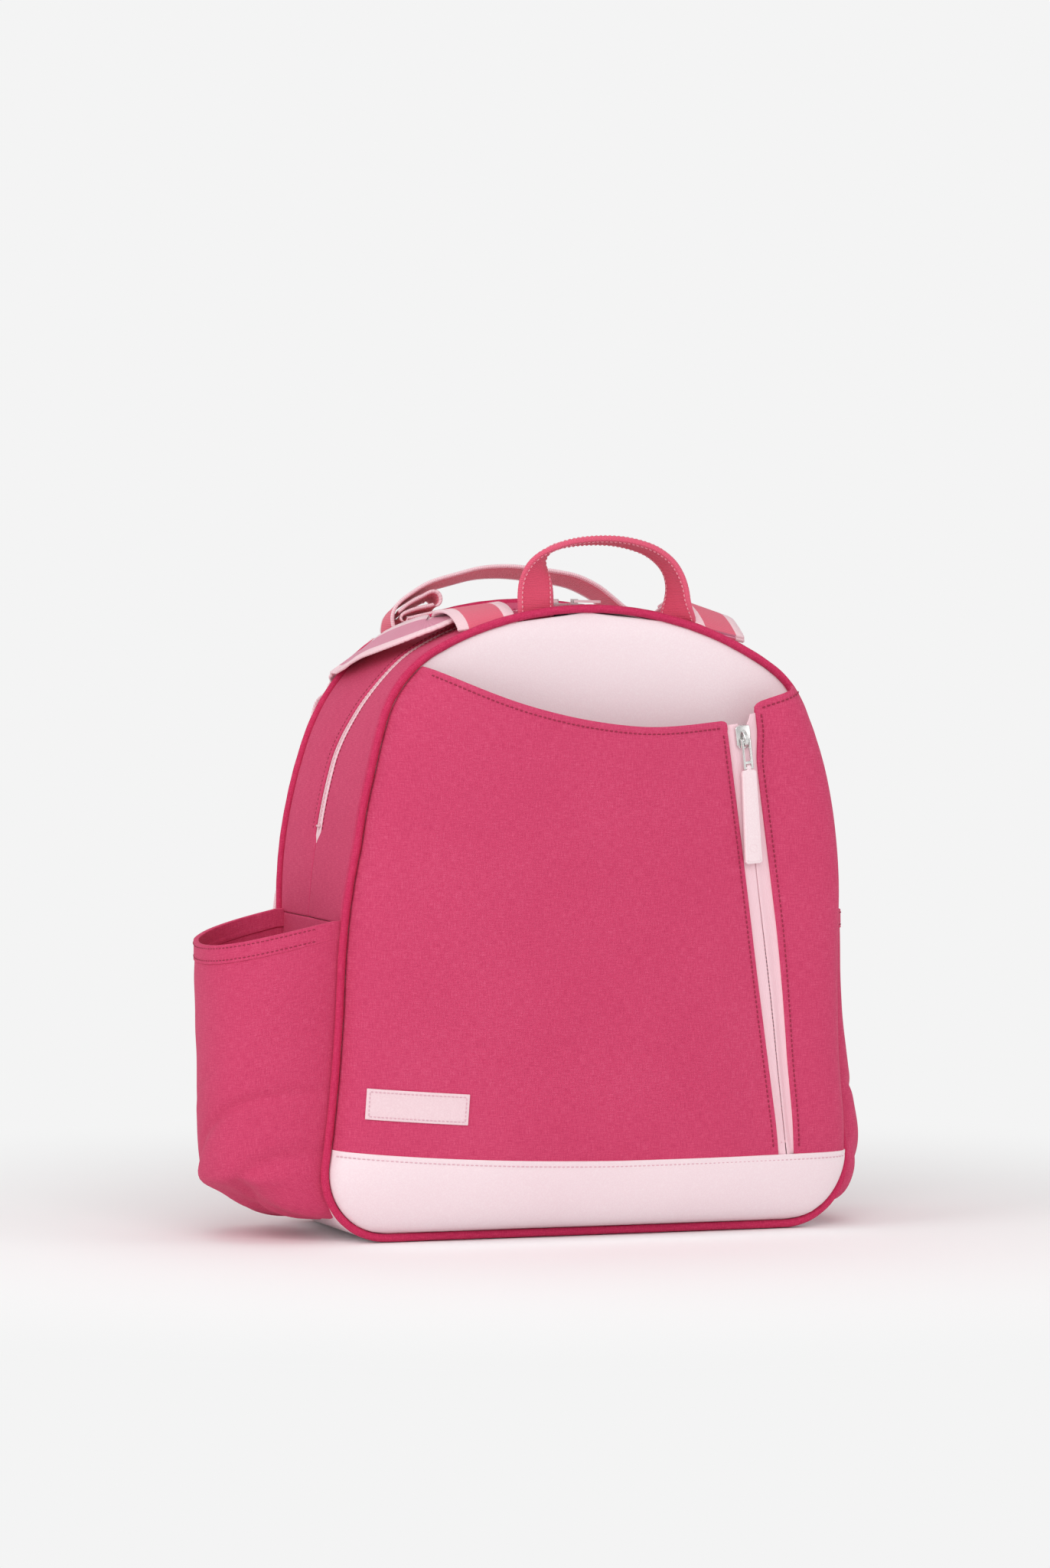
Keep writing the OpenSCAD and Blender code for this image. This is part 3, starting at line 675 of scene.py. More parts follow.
def hw(z, d=0.0):
    z = np.asarray(z, float)
    a = np.sqrt(np.maximum((222 - d) ** 2 - (z - 182) ** 2, 0))
    b = 64.3 + np.sqrt(np.maximum((85 - d) ** 2 - (z - 303) ** 2, 0))
    c = -162.9 + np.sqrt(np.maximum((330 - d) ** 2 - (z - 211.2) ** 2, 0))
    e = 1357.1 - np.sqrt((1190 + d) ** 2 - (211.2 - z) ** 2)
    f = 134.5 + np.sqrt(np.maximum((44 - d) ** 2 - (z - 44) ** 2, 0))
    return np.select([z > 303 + (85 - d) * math.cos(math.radians(28)), z > 303 + (85 - d) * math.cos(math.radians(68)), z > 211.2, z > 44 + (44 - d) * math.sin(math.radians(7.8))], [a, b, c, e], f)


def zip_y(z):
    return -30 * smooth((np.asarray(z, float) - 300) / 70)


_wz = np.linspace(-20, 430, 226)


def _curve(zs, vs):
    y = np.interp(_wz, zs, vs)
    k = np.exp(-np.linspace(-2, 2, 17) ** 2)
    return np.convolve(np.pad(y, 8, mode="edge"), k / k.sum(), "valid")


_WL = _curve([0, 180, 205, 228, 252, 300, 340, 372, 404], [0, 0.3, 2.2, 5.2, 8.0, 7.6, 4.0, 1.6, 1.0])
_WLR = _curve([0, 240, 300, 322, 340, 356, 374, 404], [0, 0.6, 1.8, 2.2, 4.5, 6.4, 4.0, 1.0])
_WR = _curve([0, 110, 200, 250, 300, 350, 380, 404], [0, 0.6, 4.5, 5.2, 6.4, 6.0, 3.0, 1.0])


def warp(P):
    """The bag isn't quite even: its left shoulder is drawn in and its right side stands out."""
    P = np.array(P, float)
    x, y, z = P[..., 0], P[..., 1], P[..., 2]
    t = np.clip((y - YF) / (YR - YF), 0, 1)
    L = np.interp(z, _wz, _WL) * (1 - t) + np.interp(z, _wz, _WLR) * t
    R = np.interp(z, _wz, _WR) * (1 - 0.5 * t)
    P[..., 0] = x + smooth((-x - 50) / 75) * L + smooth((x - 104) / 26) * R
    return P


# =============================================================== front of the racket pocket
BULGE = 36.0


def fade(z):
    v = np.clip((z - 6) / 70, 0, 1)
    return (1 - (1 - v) ** 2.2) ** 0.6


def bulge(x, z):
    q = np.minimum(np.abs(x) / np.maximum(hw(z, 6.2), 1), 1)
    h = np.maximum(1 - q**2.4, 0) ** 0.45
    q2 = np.minimum(np.maximum(x, 0) / np.maximum(hw(z, 3.6), 1), 1)
    h2 = 0.83 * np.maximum(1 - q2**13, 0) ** 0.36
    k = smooth((x - 100) / 22) * smooth((z - 20) / 60)
    h = h * (1 - k) + np.maximum(h, h2) * k
    return h * fade(z)


def ysurf(x, z):
    return YF - 2.2 - BULGE * bulge(x, z)


def zx(z):
    return 93.2 + (322 - z) * 0.119


def zg(z):
    return 5.6 + 3.9 * np.clip((z - 50) / 272, 0, 1)


def zgr(z):
    """Left edge of the flap: it stands up straighter beside the slider."""
    return zx(z) + zg(z) + 3.0 * smooth((np.asarray(z, float) - 300) / 28)


def seam(x):
    return 50.6 + 10.0 * np.clip((20 - x) / 197, 0, 1) ** 1.7


def mouth(x):
    x = np.asarray(x, float)
    return 326 + 0.0015 * (x - 50) ** 2 + 2.4 * smooth((x - 20) / 60) - 2.6 * np.clip((x - 79.5) / 4, 0, 1.2) ** 2


def flap_top(x):
    x = np.asarray(x, float)
    return 341.2 + (x - 106) * 0.42 - 2.4 * np.clip((108 - x) / 4.4, 0, 1.2) ** 2


def solve_patch(u, v, zb, zt, xl, xr):
    U, Vv = np.meshgrid(u, v)
    x = -100 + 200 * U
    for _ in range(12):
        z = zb(x) * (1 - Vv) + zt(x) * Vv
        x = xl(z) * (1 - U) + xr(z) * U
    return x, z, U, Vv


def surf_normal(x, z):
    e = 0.5
    dx = (ysurf(x + e, z) - ysurf(x - e, z)) / (2 * e)
    dz = (ysurf(x, z + e) - ysurf(x, z - e)) / (2 * e)
    return unit(np.stack([dx, -np.ones_like(dx), dz], -1))


def patch(name, u, v, zb, zt, xl, xr, mat, thick, tuck, extra=None, seed=1.0, ripple=0.6):
    x, z, U, Vv = solve_patch(u, v, zb, zt, xl, xr)
    y = ysurf(x, z)
    P = np.stack([x, y, z], -1)
    n = surf_normal(x, z)
    flat = P.reshape(-1, 3)
    r = fbm(flat, 95, seed, 2).reshape(x.shape) * ripple
    edge = np.minimum(np.minimum(U, 1 - U) * 10, 1)
    P = P + n * (r * edge)[..., None]
    if tuck is not None:
        P[..., 1] += tuck(x, z, U, Vv)
    if extra is not None:
        P = P + n * extra(x, z, U, Vv)[..., None]
    uv = np.stack([x * 1.03, z * 1.0], -1)
    return shell(name, warp(P), uv, mat, thick, out=np.array([0, -1.0, 0]))


def edge_tuck(side):
    def f(x, z, U, V):
        d = hw(z, 5.4) - np.abs(x)
        t = 2.2 * np.exp(-np.maximum(d, 0) / 2.2)
        return np.where(x * side > 0, t, 0.0) if side else t
    return f


def dense(n, a=2.2):
    t = np.linspace(0, 1, n)
    return t


up_l = np.concatenate([[0, 0.004, 0.01, 0.018, 0.03, 0.045], np.linspace(0.065, 0.975, 62), [0.985, 0.993, 1.0]])
vp = np.concatenate([np.linspace(0, 0.955, 84), [0.962, 0.968, 0.975, 0.982, 0.989, 0.995, 1.0]])


def hem_extra(zt, width, step):
    """A turned hem: the cloth is thicker above the stitch line."""
    def f(x, z, U, V):
        d = zt(x) - z
        return step * smooth((width + 0.6 - d) / 1.2) - 0.35 * np.exp(-((d - width) / 0.9) ** 2)
    return f


panel = patch("racket_pocket_cloth", up_l, vp, lambda x: seam(x) - 3.5, mouth, lambda z: -hw(z, 5.4), lambda z: zx(z) - zg(z), M_CANVAS, 2.2, edge_tuck(-1),
              lambda x, z, U, V: hem_extra(mouth, 4.6, 0.35)(x, z, U, V) - 0.3 * np.exp(-((zx(z) - zg(z) - x - 3.3) / 0.9) ** 2), 1.7)
put(panel, "bag", "raspberry_canvas", "racket_pocket_panel")
up_r = np.concatenate([[0, 0.02, 0.05], np.linspace(0.09, 0.9, 22), [0.93, 0.955, 0.975, 0.988, 1.0]])
flap = patch("racket_pocket_flap_cloth", up_r, vp, lambda x: seam(x) - 3.5, flap_top, zgr, lambda z: hw(z, 4.2), M_CANVAS, 2.2, edge_tuck(1),
             lambda x, z, U, V: hem_extra(flap_top, 4.6, 0.35)(x, z, U, V) - 0.3 * np.exp(-((x - zgr(z) - 3.3) / 0.9) ** 2), 2.9, 0.4)
put(flap, "bag", "raspberry_canvas", "racket_pocket_flap")
ub = np.concatenate([[0, 0.004, 0.01, 0.018, 0.03, 0.045], np.linspace(0.065, 0.935, 60), [0.955, 0.97, 0.982, 0.99, 0.996, 1.0]])
vb = np.concatenate([[0, 0.03, 0.07, 0.12], np.linspace(0.18, 0.9, 14), [0.94, 0.965, 0.985, 1.0]])


def band_tuck(x, z, U, V):
    d = np.minimum(hw(z, 5.4) - np.abs(x), z - 5.4)
    return 2.2 * np.exp(-np.maximum(d, 0) / 2.2)


bandp = patch("base_band_cloth", ub, vb, lambda x: 5.4 + 0 * x, seam, lambda z: -hw(z, 5.4), lambda z: hw(z, 5.4), M_PALE, 1.5, band_tuck,
              lambda x, z, U, V: 0.95 - 0.3 * np.exp(-((seam(x) - z - 3.4) / 0.8) ** 2) - 0.95 * smooth((12 - z) / 8), 4.1, 0.5)
put(bandp, "bag", "pale_leather", "base_band")


def row_on(xs, zs, off):
    x, z = np.asarray(xs, float), np.asarray(zs, float)
    n = surf_normal(x, z)
    P = np.stack([x, ysurf(x, z), z], -1) + n * off
    return warp(P), n


def srow(name, xs, zs, off, mat, slot, pitch=3.0, size=2.1, r=0.33, body="bag"):
    p, n = row_on(xs, zs, off)
    o = stitches(name, p, n, mat, pitch, size, r)
    return put(o, body, slot)


xs = np.linspace(-112, 78.5, 160)
srow("mouth_stitching", xs, mouth(xs) - 4.6, 0.12, M_TH_R, "raspberry_canvas", 3.2, 2.2, 0.46)
xs = np.linspace(108, 131, 28)
srow("flap_stitching", xs, flap_top(xs) - 4.6, 0.12, M_TH_R, "raspberry_canvas", 3.2, 2.2, 0.46)
zs = np.linspace(55, 321, 220)
srow("zip_stitching_left", zx(zs) - zg(zs) - 3.3, zs, 0.0, M_TH_R, "raspberry_canvas", 3.2, 2.2, 0.46)
zs = np.linspace(55, 334, 220)
srow("zip_stitching_right", zgr(zs) + 3.3, zs, 0.0, M_TH_R, "raspberry_canvas", 3.2, 2.2, 0.46)
xs = np.linspace(-170, 169, 260)
srow("band_stitching", xs, seam(xs) - 3.4, 0.8, M_TH_P, "pale_leather", 3.0, 2.1, 0.36)

# blank label
lx, lz = np.meshgrid(np.linspace(0, 1, 40), np.linspace(0, 1, 14))
LX = lambda a, b: -153.4 + 63.2 * a - 1.4 * (1 - b)
LZ = lambda a, b: 80.6 + 19.6 * b - 4.4 * a
X, Z = LX(lx, lz), LZ(lx, lz)
n = surf_normal(X, Z)
LP = np.stack([X, ysurf(X, Z), Z], -1) + n * 1.35
label = shell("label_leather", warp(LP), np.stack([X, Z], -1), M_LABEL, 1.1, out=np.array([0, -1.0, 0]), round_edge=0.4)
put(label, "bag", "pale_leather", "label_patch")
m = 0.032
ring_ab = [(m, 0.1), (1 - m, 0.1), (1 - m, 0.9), (m, 0.9), (m, 0.1)]
for k in range(4):
    a = np.linspace(ring_ab[k][0], ring_ab[k + 1][0], 40)
    b = np.linspace(ring_ab[k][1], ring_ab[k + 1][1], 40)
    srow(f"label_stitching_{k}", LX(a, b), LZ(a, b), 1.42, M_TH_P, "pale_leather", 2.5, 1.8, 0.32)

# =============================================================== front panel, piping
zs = np.linspace(0, 1, 60)
us = np.linspace(-1, 1, 70)
U, T = np.meshgrid(us, zs)
Zf = 40 + (404 - 5.2 - 40) * T
Xf = hw(Zf, 5.2) * U
edge = np.maximum(1 - np.abs(U) ** 6, 0) * np.minimum((404 - 5.2 - Zf) / 12, 1)
flat = np.stack([Xf, 0 * Xf, Zf], -1).reshape(-1, 3)
Yf = YF + 0.6 - (1.6 + 1.4 * fbm(flat, 110, 5.0, 2).reshape(Xf.shape)) * edge
fp = shell("front_panel_leather", warp(np.stack([Xf, Yf, Zf], -1)), np.stack([Xf, Zf], -1), M_PALE, 1.4, out=np.array([0, -1.0, 0]))
put(fp, "bag", "pale_leather", "front_panel")


def piping(name, y, mat, r=2.7, d=2.75, flange=None):
    s = np.linspace(0, PERIM, 620)[:-1]
    q = at(s)
    wob = np.array([0.12 * math.sin(k * 0.9) + 0.1 * math.sin(k * 0.37 + 1) for k in range(len(s))])
    P = np.stack([q[:, 0] - d * q[:, 2], np.full(len(s), y), q[:, 1] - d * q[:, 3]], 1)
    rr = np.full(len(s), r) + wob * 0.4
    P = warp(P)
    P[:, 2] = np.maximum(P[:, 2], r)
    return tube(name, P, r, mat, 12, closed=True, up=(0, 1, 0), rr=rr)


put(piping("front_piping_cord", YF, M_PIPE), "bag", "piping", "front_piping")
put(piping("rear_piping_cord", YR, M_PIPE), "bag", "piping", "rear_piping")


def gusset(name, s0, s1, ya, yb, d0, mat, puff, thick=2.0, nu=180, nv=18, seed=3.0, ripple=0.7, tuck=(True, True), slot="raspberry_canvas", nodes=()):
    """Cloth strip of the gusset between arc lengths s0 and s1 and the lines ya(z) and yb(z)."""
    s = np.linspace(s0, s1, nu + 1)
    q = at(s)
    t = np.concatenate([[0, 0.03, 0.07], np.linspace(0.12, 0.88, nv - 5), [0.93, 0.97, 1]])
    T, S = np.meshgrid(t, s)
    X, Zq, NX, NZ = [np.repeat(q[:, i : i + 1], len(t), 1) for i in range(4)]
    Y = ya(X, Zq) * (1 - T) + yb(X, Zq) * T
    p3 = np.stack([X, Y, Zq], -1).reshape(-1, 3)
    f = fbm(p3, 70, seed, 3).reshape(X.shape) * ripple
    ends = np.sin(np.pi * np.clip(T, 0, 1)) ** 0.7
    d = d0 - puff * ends - f * ends
    if tuck[0]:
        d = d + 1.8 * np.exp(-np.abs(Y - ya(X, Zq)) / 1.6)
    if tuck[1]:
        d = d + 1.8 * np.exp(-np.abs(Y - yb(X, Zq)) / 1.6)
    P = np.stack([X - d * NX, Y, Zq - d * NZ], -1)
    mid = P[P.shape[0] // 2, P.shape[1] // 2]
    qm = at(np.array([(s0 + s1) / 2]))[0]
    o = shell(name, warp(P), np.stack([S, Y], -1), mat, thick, out=np.array([qm[2], 0, qm[3]]))
    return put(o, "bag", slot, *nodes)


EDGE = 5.4
sr, slf = s_at(252), s_at(252, -1)
yfa = lambda x, z: np.full_like(z, YF + 1.6)
yrb = lambda x, z: np.full_like(z, YR - 1.4)
SEAM_Z = 203.0
gl_r, gl_l = s_at(SEAM_Z), s_at(SEAM_Z, -1)


def lipgap(z):
    return EDGE * smooth((np.asarray(z, float) - 250) / 9)


gusset("front_gusset_cloth", gl_r, gl_l, yfa, lambda x, z: zip_y(z) - lipgap(z), 2.6, M_CANVAS, 1.0, tuck=(True, False), nodes=("front_gusset",), nu=320)
gusset("rear_gusset_cloth", gl_r, gl_l, lambda x, z: zip_y(z) + lipgap(z), yrb, 2.6, M_CANVAS, 1.2, tuck=(False, True), nodes=("rear_gusset",), seed=8.0, nu=320)
sb = s_at(57.5)
gusset("side_cloth_right", sb, gl_r - 0.3, yfa, yrb, 2.8, M_CANVAS, 1.0, nu=90, nv=30, nodes=("side_panel_right",), seed=4.0, ripple=1.0)
gusset("side_cloth_left", PERIM - sb, gl_l + 0.3, yfa, yrb, 2.8, M_CANVAS, 1.0, nu=90, nv=30, nodes=("side_panel_left",), seed=6.0, ripple=1.0)
# rolled seam beside the front piping
s = np.linspace(s_at(60), s_at(60, -1), 520)
q = at(s)
rolled = warp(np.stack([q[:, 0] - 3.1 * q[:, 2], np.full(len(s), YF + 6.4), q[:, 1] - 3.1 * q[:, 3]], 1))
put(tube("front_gusset_rolled_seam", rolled, 2.0, M_CANVAS, 10, up=(0, 1, 0)), "bag", "raspberry_canvas")
# pale base: one U from side to side, laid over the side panels
s = np.linspace(-s_at(57.5), s_at(57.5), 241)
q = at(s)
t = np.concatenate([[0, 0.02, 0.05], np.linspace(0.1, 0.9, 20), [0.95, 0.98, 1]])
T, S = np.meshgrid(t, s)
X, Zq, NX, NZ = [np.repeat(q[:, i : i + 1], len(t), 1) for i in range(4)]
Y = (YF + 1.6) * (1 - T) + (YR - 1.4) * T
onfloor = np.clip(-NZ, 0, 1) ** 6
f = fbm(np.stack([X, Y, Zq], -1).reshape(-1, 3), 60, 11.0, 2).reshape(X.shape)
d = 0.9 - 0.9 * onfloor * np.sin(np.pi * T) ** 0.3 - f * 0.5 * (1 - onfloor) + 2.2 * np.exp(-np.minimum(Y - YF - 1.6, YR - 1.4 - Y) / 1.8)
d = np.maximum(d, 0.0)
P = warp(np.stack([X - d * NX, Y, Zq - d * NZ], -1))
bg = shell("base_leather", P, np.stack([S, Y], -1), M_PALE, 2.0, out=np.array([0, 0, -1.0]))
put(bg, "bag", "pale_leather", "base_gusset")
for side in (1, -1):
    ss = side * (s_at(57.5) - 3.2)
    yy = np.linspace(YF + 5, YR - 5, 90)
    qq = at(np.full(90, ss))
    p = warp(np.stack([qq[:, 0] - 0.8 * qq[:, 2], yy, qq[:, 1] - 0.8 * qq[:, 3]], 1))
    nn = np.stack([qq[:, 2], 0 * yy, qq[:, 3]], 1)
    put(stitches(f"base_stitching_{'right' if side > 0 else 'left'}", p, nn, M_TH_P, 3.0, 2.1, 0.34), "bag", "pale_leather")

for nm_, ya_, yb_ in (("front", lambda x, z: np.full_like(z, YF + 5.0), lambda x, z: zip_y(z) - 9.4), ("rear", lambda x, z: zip_y(z) + 9.4, lambda x, z: np.full_like(z, YR - 5.6))):
    gusset(f"main_lining_{nm_}", s_at(58), s_at(58, -1), ya_, yb_, 7.6, M_LINING, 0.3, thick=0.9, nu=200, ripple=0.4, tuck=(False, False), slot="lining", nodes=("main_lining",), seed=14.0)

# main zip: two tapes, moulded coil, stitch rows
s = np.linspace(s_at(247), s_at(247, -1), 440)
q = at(s)
for nm, a, b in (("front", -EDGE - 4.5, -0.35), ("rear", 0.35, EDGE + 4.5)):
    t = np.linspace(0, 1, 7)
    T, S = np.meshgrid(t, s)
    X, Zq, NX, NZ = [np.repeat(q[:, i : i + 1], len(t), 1) for i in range(4)]
    Y = zip_y(Zq) + a + (b - a) * T
    lip = np.exp(-(np.abs(Y - zip_y(Zq)) - 0.9) ** 2 / 0.5)
    d = 3.1 - 0.5 * lip + 2.6 * smooth((np.abs(Y - zip_y(Zq)) - 4.5) / 1.5)
    o = shell(f"main_zip_tape_{nm}_knit", warp(np.stack([X - d * NX, Y, Zq - d * NZ], -1)), np.stack([S, Y - zip_y(Zq)], -1), M_TAPE, 0.7, out=np.array([0, 0, 1.0]))
    put(o, "bag", "zip_tape", f"main_zip_tape_{nm}")


def teeth(name, path, nrm, side, mat, pitch=1.45):
    """Moulded zip teeth: two rows that mesh along path."""
    s = length(path)
    n = int(s[-1] / pitch)
    V, F = [], []
    for k in range(n):
        c = (k + 0.5) * s[-1] / n
        p = np.array([np.interp(c, s, path[:, i]) for i in range(3)])
        nn = unit(np.array([np.interp(c, s, nrm[:, i]) for i in range(3)]))
        ss = unit(np.array([np.interp(c, s, side[:, i]) for i in range(3)]))
        tt = np.cross(ss, nn)
        w = 1.0 if k % 2 else -1.0
        b = len(V)
        for (a0, h0, l0) in ((-0.55, 0.0, 1.0), (1.5, 0.0, 1.0), (1.5, 0.55, 0.75), (-0.35, 0.62, 0.7)):
            for e in (-1, 1):
                V.append(p + ss * w * a0 + nn * h0 + tt * e * pitch * 0.36 * l0)
        F += [(b, b + 1, b + 3, b + 2), (b + 2, b + 3, b + 5, b + 4), (b + 4, b + 5, b + 7, b + 6), (b + 6, b + 7, b + 1, b), (b, b + 2, b + 4, b + 6), (b + 1, b + 7, b + 5, b + 3)]
    o = mesh(name, np.array(V), F, np.zeros((len(V), 2)), [mat], smooth_on=False)
    fix_normals(o)
    return o


q = at(np.linspace(s_at(259), s_at(259, -1), 420))
s = np.linspace(s_at(259), s_at(259, -1), 420)
pz = warp(np.stack([q[:, 0] - 2.9 * q[:, 2], zip_y(q[:, 1]), q[:, 1] - 2.9 * q[:, 3]], 1))
nz = np.stack([q[:, 2], 0 * s, q[:, 3]], 1)
put(teeth("main_zip_teeth", pz, nz, np.tile([0, 1.0, 0], (len(s), 1)), M_COIL), "bag", "zip_coil", "main_zip_coil")
for nm, off in (("front", -EDGE - 3.0), ("rear", EDGE + 3.0)):
    p = warp(np.stack([q[:, 0] - 2.35 * q[:, 2], zip_y(q[:, 1]) + off, q[:, 1] - 2.35 * q[:, 3]], 1))
    put(stitches(f"main_zip_stitching_{nm}", p, nz, M_TH_R, 3.0, 2.1, 0.33), "bag", "raspberry_canvas")

# =============================================================== racket pocket zip
from mathutils import Matrix

ZM = Matrix.Translation((93.2 * MM, -107.3 * MM, 322 * MM)) @ Matrix.Rotation(math.radians(11.3), 4, "Z") @ Matrix.Rotation(math.radians(-6.829), 4, "Y") @ Matrix.Rotation(math.radians(-0.464), 4, "X")
ZMn = np.array(ZM)
ZMn[:3, 3] /= MM


def zloc(P):
    P = np.asarray(P, float)
    return P @ ZMn[:3, :3].T + ZMn[:3, 3]


ZL = 268.0
for nm, sg in (("left", -1), ("right", 1)):
    t = np.linspace(0, 1, 9)
    top_ = 6.2 if sg < 0 else 11.0
    zz = np.linspace(top_, -ZL - 6.0, 134)
    T, Zz = np.meshgrid(t, zz)
    top = 3.0 * np.exp(-((5 - Zz) / 6.0))
    half = zg(322 + np.minimum(Zz, 0)) + 3.0 + (3.0 * smooth((Zz + 24) / 26) if sg > 0 else 0.0)
    xx = sg * (0.28 + (half - 0.28) * T)
    yy = 0.1 + 0.5 * T - 0.55 * np.exp(-((T * half - 0.9) / 1.3) ** 2) + 0.0 * Zz + top * 0
    # the halves part above the slider
    part = np.clip((Zz + 1) / 6.0, 0, 1)
    xx = xx + sg * part * (1.8 + (5.5 * np.clip(Zz / 10, 0, 1) if sg > 0 else 0.0)) * (1 - T)
    P = zloc(np.stack([xx, yy, Zz], -1).reshape(-1, 3)).reshape(xx.shape + (3,))
    # towards its outer edge the tape follows the cloth it is sewn under
    k_ = smooth((T - 0.4) / 0.35)
    P[..., 1] = P[..., 1] * (1 - k_) + (ysurf(P[..., 0], P[..., 2]) + 1.3 + 0.9 * smooth((T - 0.84) / 0.16)) * k_
    P = warp(P)
    o = shell(f"pocket_zip_tape_{nm}_knit", P, np.stack([Zz, xx], -1), M_TAPE, 0.8, out=np.array([0, -1.0, 0]))
    put(o, "bag", "zip_tape", f"pocket_zip_tape_{nm}")
zz = np.linspace(-12, -ZL + 3, 200)
pc = zloc(np.stack([0 * zz, 0 * zz + 0.75, zz], 1))
zn = np.tile(np.array(ZM.to_3x3() @ Vector((0, -1, 0))), (len(zz), 1))
zs_ = np.tile(np.array(ZM.to_3x3() @ Vector((1, 0, 0))), (len(zz), 1))
put(teeth("pocket_zip_teeth", pc, zn, zs_, M_COIL, 1.3), "bag", "zip_coil", "pocket_zip_coil")

sb_ = [tube("st_a", zloc(np.array([[x0, 0.6, -ZL + 2.6], [x1, 0.6, -ZL + 2.6]])), 0.75, M_COIL, 10, up=(0, 0, 1)) for x0, x1 in ((-2.6, 2.6),)]
sb_ += [tube("st_b", zloc(np.array([[x, 1.0, 1.0], [x + 0.4 * sgx, 1.0, 4.4]])), 0.8, M_METAL, 10, up=(1, 0, 0)) for x, sgx in ((-2.9, -1), (2.9, 1))]
put(join("pocket_zip_stop_bars", sb_), "bag", "silver_metal", "pocket_zip_stops")
mz = []
for sd in (1, -1):
    qs = at(np.array([s_at(261.5, sd)]))[0]
    c0 = warp(np.array([[qs[0] - 2.5 * qs[2], y_, qs[1] - 2.5 * qs[3]] for y_ in (-2.8, 0.0, 2.8)]))
    mz.append(tube("st_c", c0, 0.8, M_COIL, 10, up=(0, 0, 1)))
put(join("main_zip_stop_bars", mz), "bag", "silver_metal", "main_zip_stops")

# slider: plate, wings, crown
plate = [(-4.6, 3.2), (-3.4, 4.2), (3.4, 4.2), (4.6, 3.2), (4.6, -1.5), (3.5, -8.2), (2.6, -9.0), (-2.6, -9.0), (-3.5, -8.2), (-4.6, -1.5)]
XZ = Matrix(((1, 0, 0, 0), (0, 0, 1, 0), (0, 1, 0, 0), (0, 0, 0, 1)))  # outline x, y -> x, z
parts = [extrude_outline("sl_a", plate, -2.1, -0.5, M_METAL, 0.5), extrude_outline("sl_b", plate, 2.4, 3.8, M_METAL, 0.5)]
parts.append(extrude_outline("sl_c", [(-0.5, 4), (0.5, 4), (0.5, -2), (-0.5, -2)], -1.0, 2.6, M_METAL, 0.15))
for p in parts:
    p.data.transform(XZ)
for sx in (-1, 1):
    parts.append(box_piece("sl_w", (sx * 4.1 - 0.45, -1.9, -7 if sx else 0), (sx * 4.1 + 0.45, -0.1, 3.0), M_METAL, 0.35))
cr = np.array([(-1.7, 1.4), (-2.9, 0.8), (-4.2, -0.6), (-5.2, -2.6), (-5.5, -4.4), (-5.1, -5.9), (-3.9, -6.9), (-2.6, -7.5), (-1.7, -7.8)])
crp = catmull(np.stack([0 * cr[:, 0], cr[:, 0], cr[:, 1]], 1), 26)
parts.append(band("sl_d", crp, np.tile([1.0, 0, 0], (26, 1)), 2.4, 0.85, [M_METAL] * 3))
sl = join("pocket_slider_metal", parts)
fix_normals(sl)
sl.data.transform(Matrix.Diagonal((1.18, 1.0, 1.12, 1.0)))
sl.data.transform(ZM)
put(sl, "pocket_slider", "silver_metal", "pocket_zip_slider")

# link: a flat ring with a waist bar
# two uprights joined by a bar at mid height, so that it reads as an H
hbar = [(-3.6, -3.7), (-1.9, -3.7), (-1.9, -18.2), (1.9, -18.2), (1.9, -3.7), (3.6, -3.7), (3.6, -23.4), (1.9, -23.4), (1.9, -20.0), (-1.9, -20.0), (-1.9, -23.4), (-3.6, -23.4)]
lk = extrude_outline("ln_a", hbar, -4.7, -3.1, M_METAL, 0.45, 3)
lk.data.transform(XZ)
parts = [lk]
for z0 in (-4.5, -22.5):
    parts.append(tube("ln_b", np.array([[-3.4, -3.9, z0], [0, -3.9, z0], [3.4, -3.9, z0]]), 0.7, M_METAL, 14, up=(0, 0, 1)))
ln = join("pocket_link_metal", parts)
fix_normals(ln)
ln.data.transform(ZM)
put(ln, "pocket_link", "silver_metal", "pocket_zip_link")

# tab: coated strip folded over the lower bar, pressed border
tw = 5.5
tabo = [(-1.5, -21.4), (-1.5, -23.6), (-3.6, -23.9), (-tw + 0.6, -24.4), (-tw, -25.2), (-tw, -82.6), (-tw + 1.2, -83.8), (tw - 1.2, -83.8), (tw, -82.6), (tw, -25.2), (tw - 0.6, -24.4), (3.6, -23.9), (1.5, -23.6), (1.5, -21.4)]
bm_t = extrude_outline("tb_a", tabo, -5.1, -2.9, M_TAB, 0.7, 4)
bm_t.data.transform(XZ)
parts = [bm_t]
loopp = np.array([[0, -3.9 - 1.35 * math.cos(a), -22.5 + 1.35 * math.sin(a)] for a in np.radians(np.linspace(-60, 240, 22))])
parts.append(band("tb_b", loopp, np.tile([1.0, 0, 0], (22, 1)), 3.0, 0.9, [M_TAB] * 3))
# raised border line and a plain round stud near the foot
bd = []
for (a, b) in (((-4.3, -27), (-4.3, -82.0)), ((-4.3, -82.3), (4.3, -82.3)), ((4.3, -82.0), (4.3, -27))):
    k = np.linspace(0, 1, 40)[:, None]
    line = np.array([[a[0], -5.12, a[1]]]) * (1 - k) + np.array([[b[0], -5.12, b[1]]]) * k
    bd.append(tube("tb_c", line, 0.22, M_TAB, 8, up=(0.1, 1, 0.1)))
circ = np.array([[2.6 * math.cos(a), -5.12, -74 + 2.6 * math.sin(a)] for a in np.linspace(0, 2 * math.pi, 33)[:-1]])
bd.append(tube("tb_d", circ, 0.2, M_TAB, 8, closed=True, up=(0, 1, 0)))
tb = join("pocket_tab_leather", parts + bd)
fix_normals(tb)
for v_ in tb.data.vertices:
    k_ = min(max((-v_.co.z / MM - 24.0) / 60.0, 0.0), 1.0)
    v_.co.x *= 0.93 + 0.19 * k_
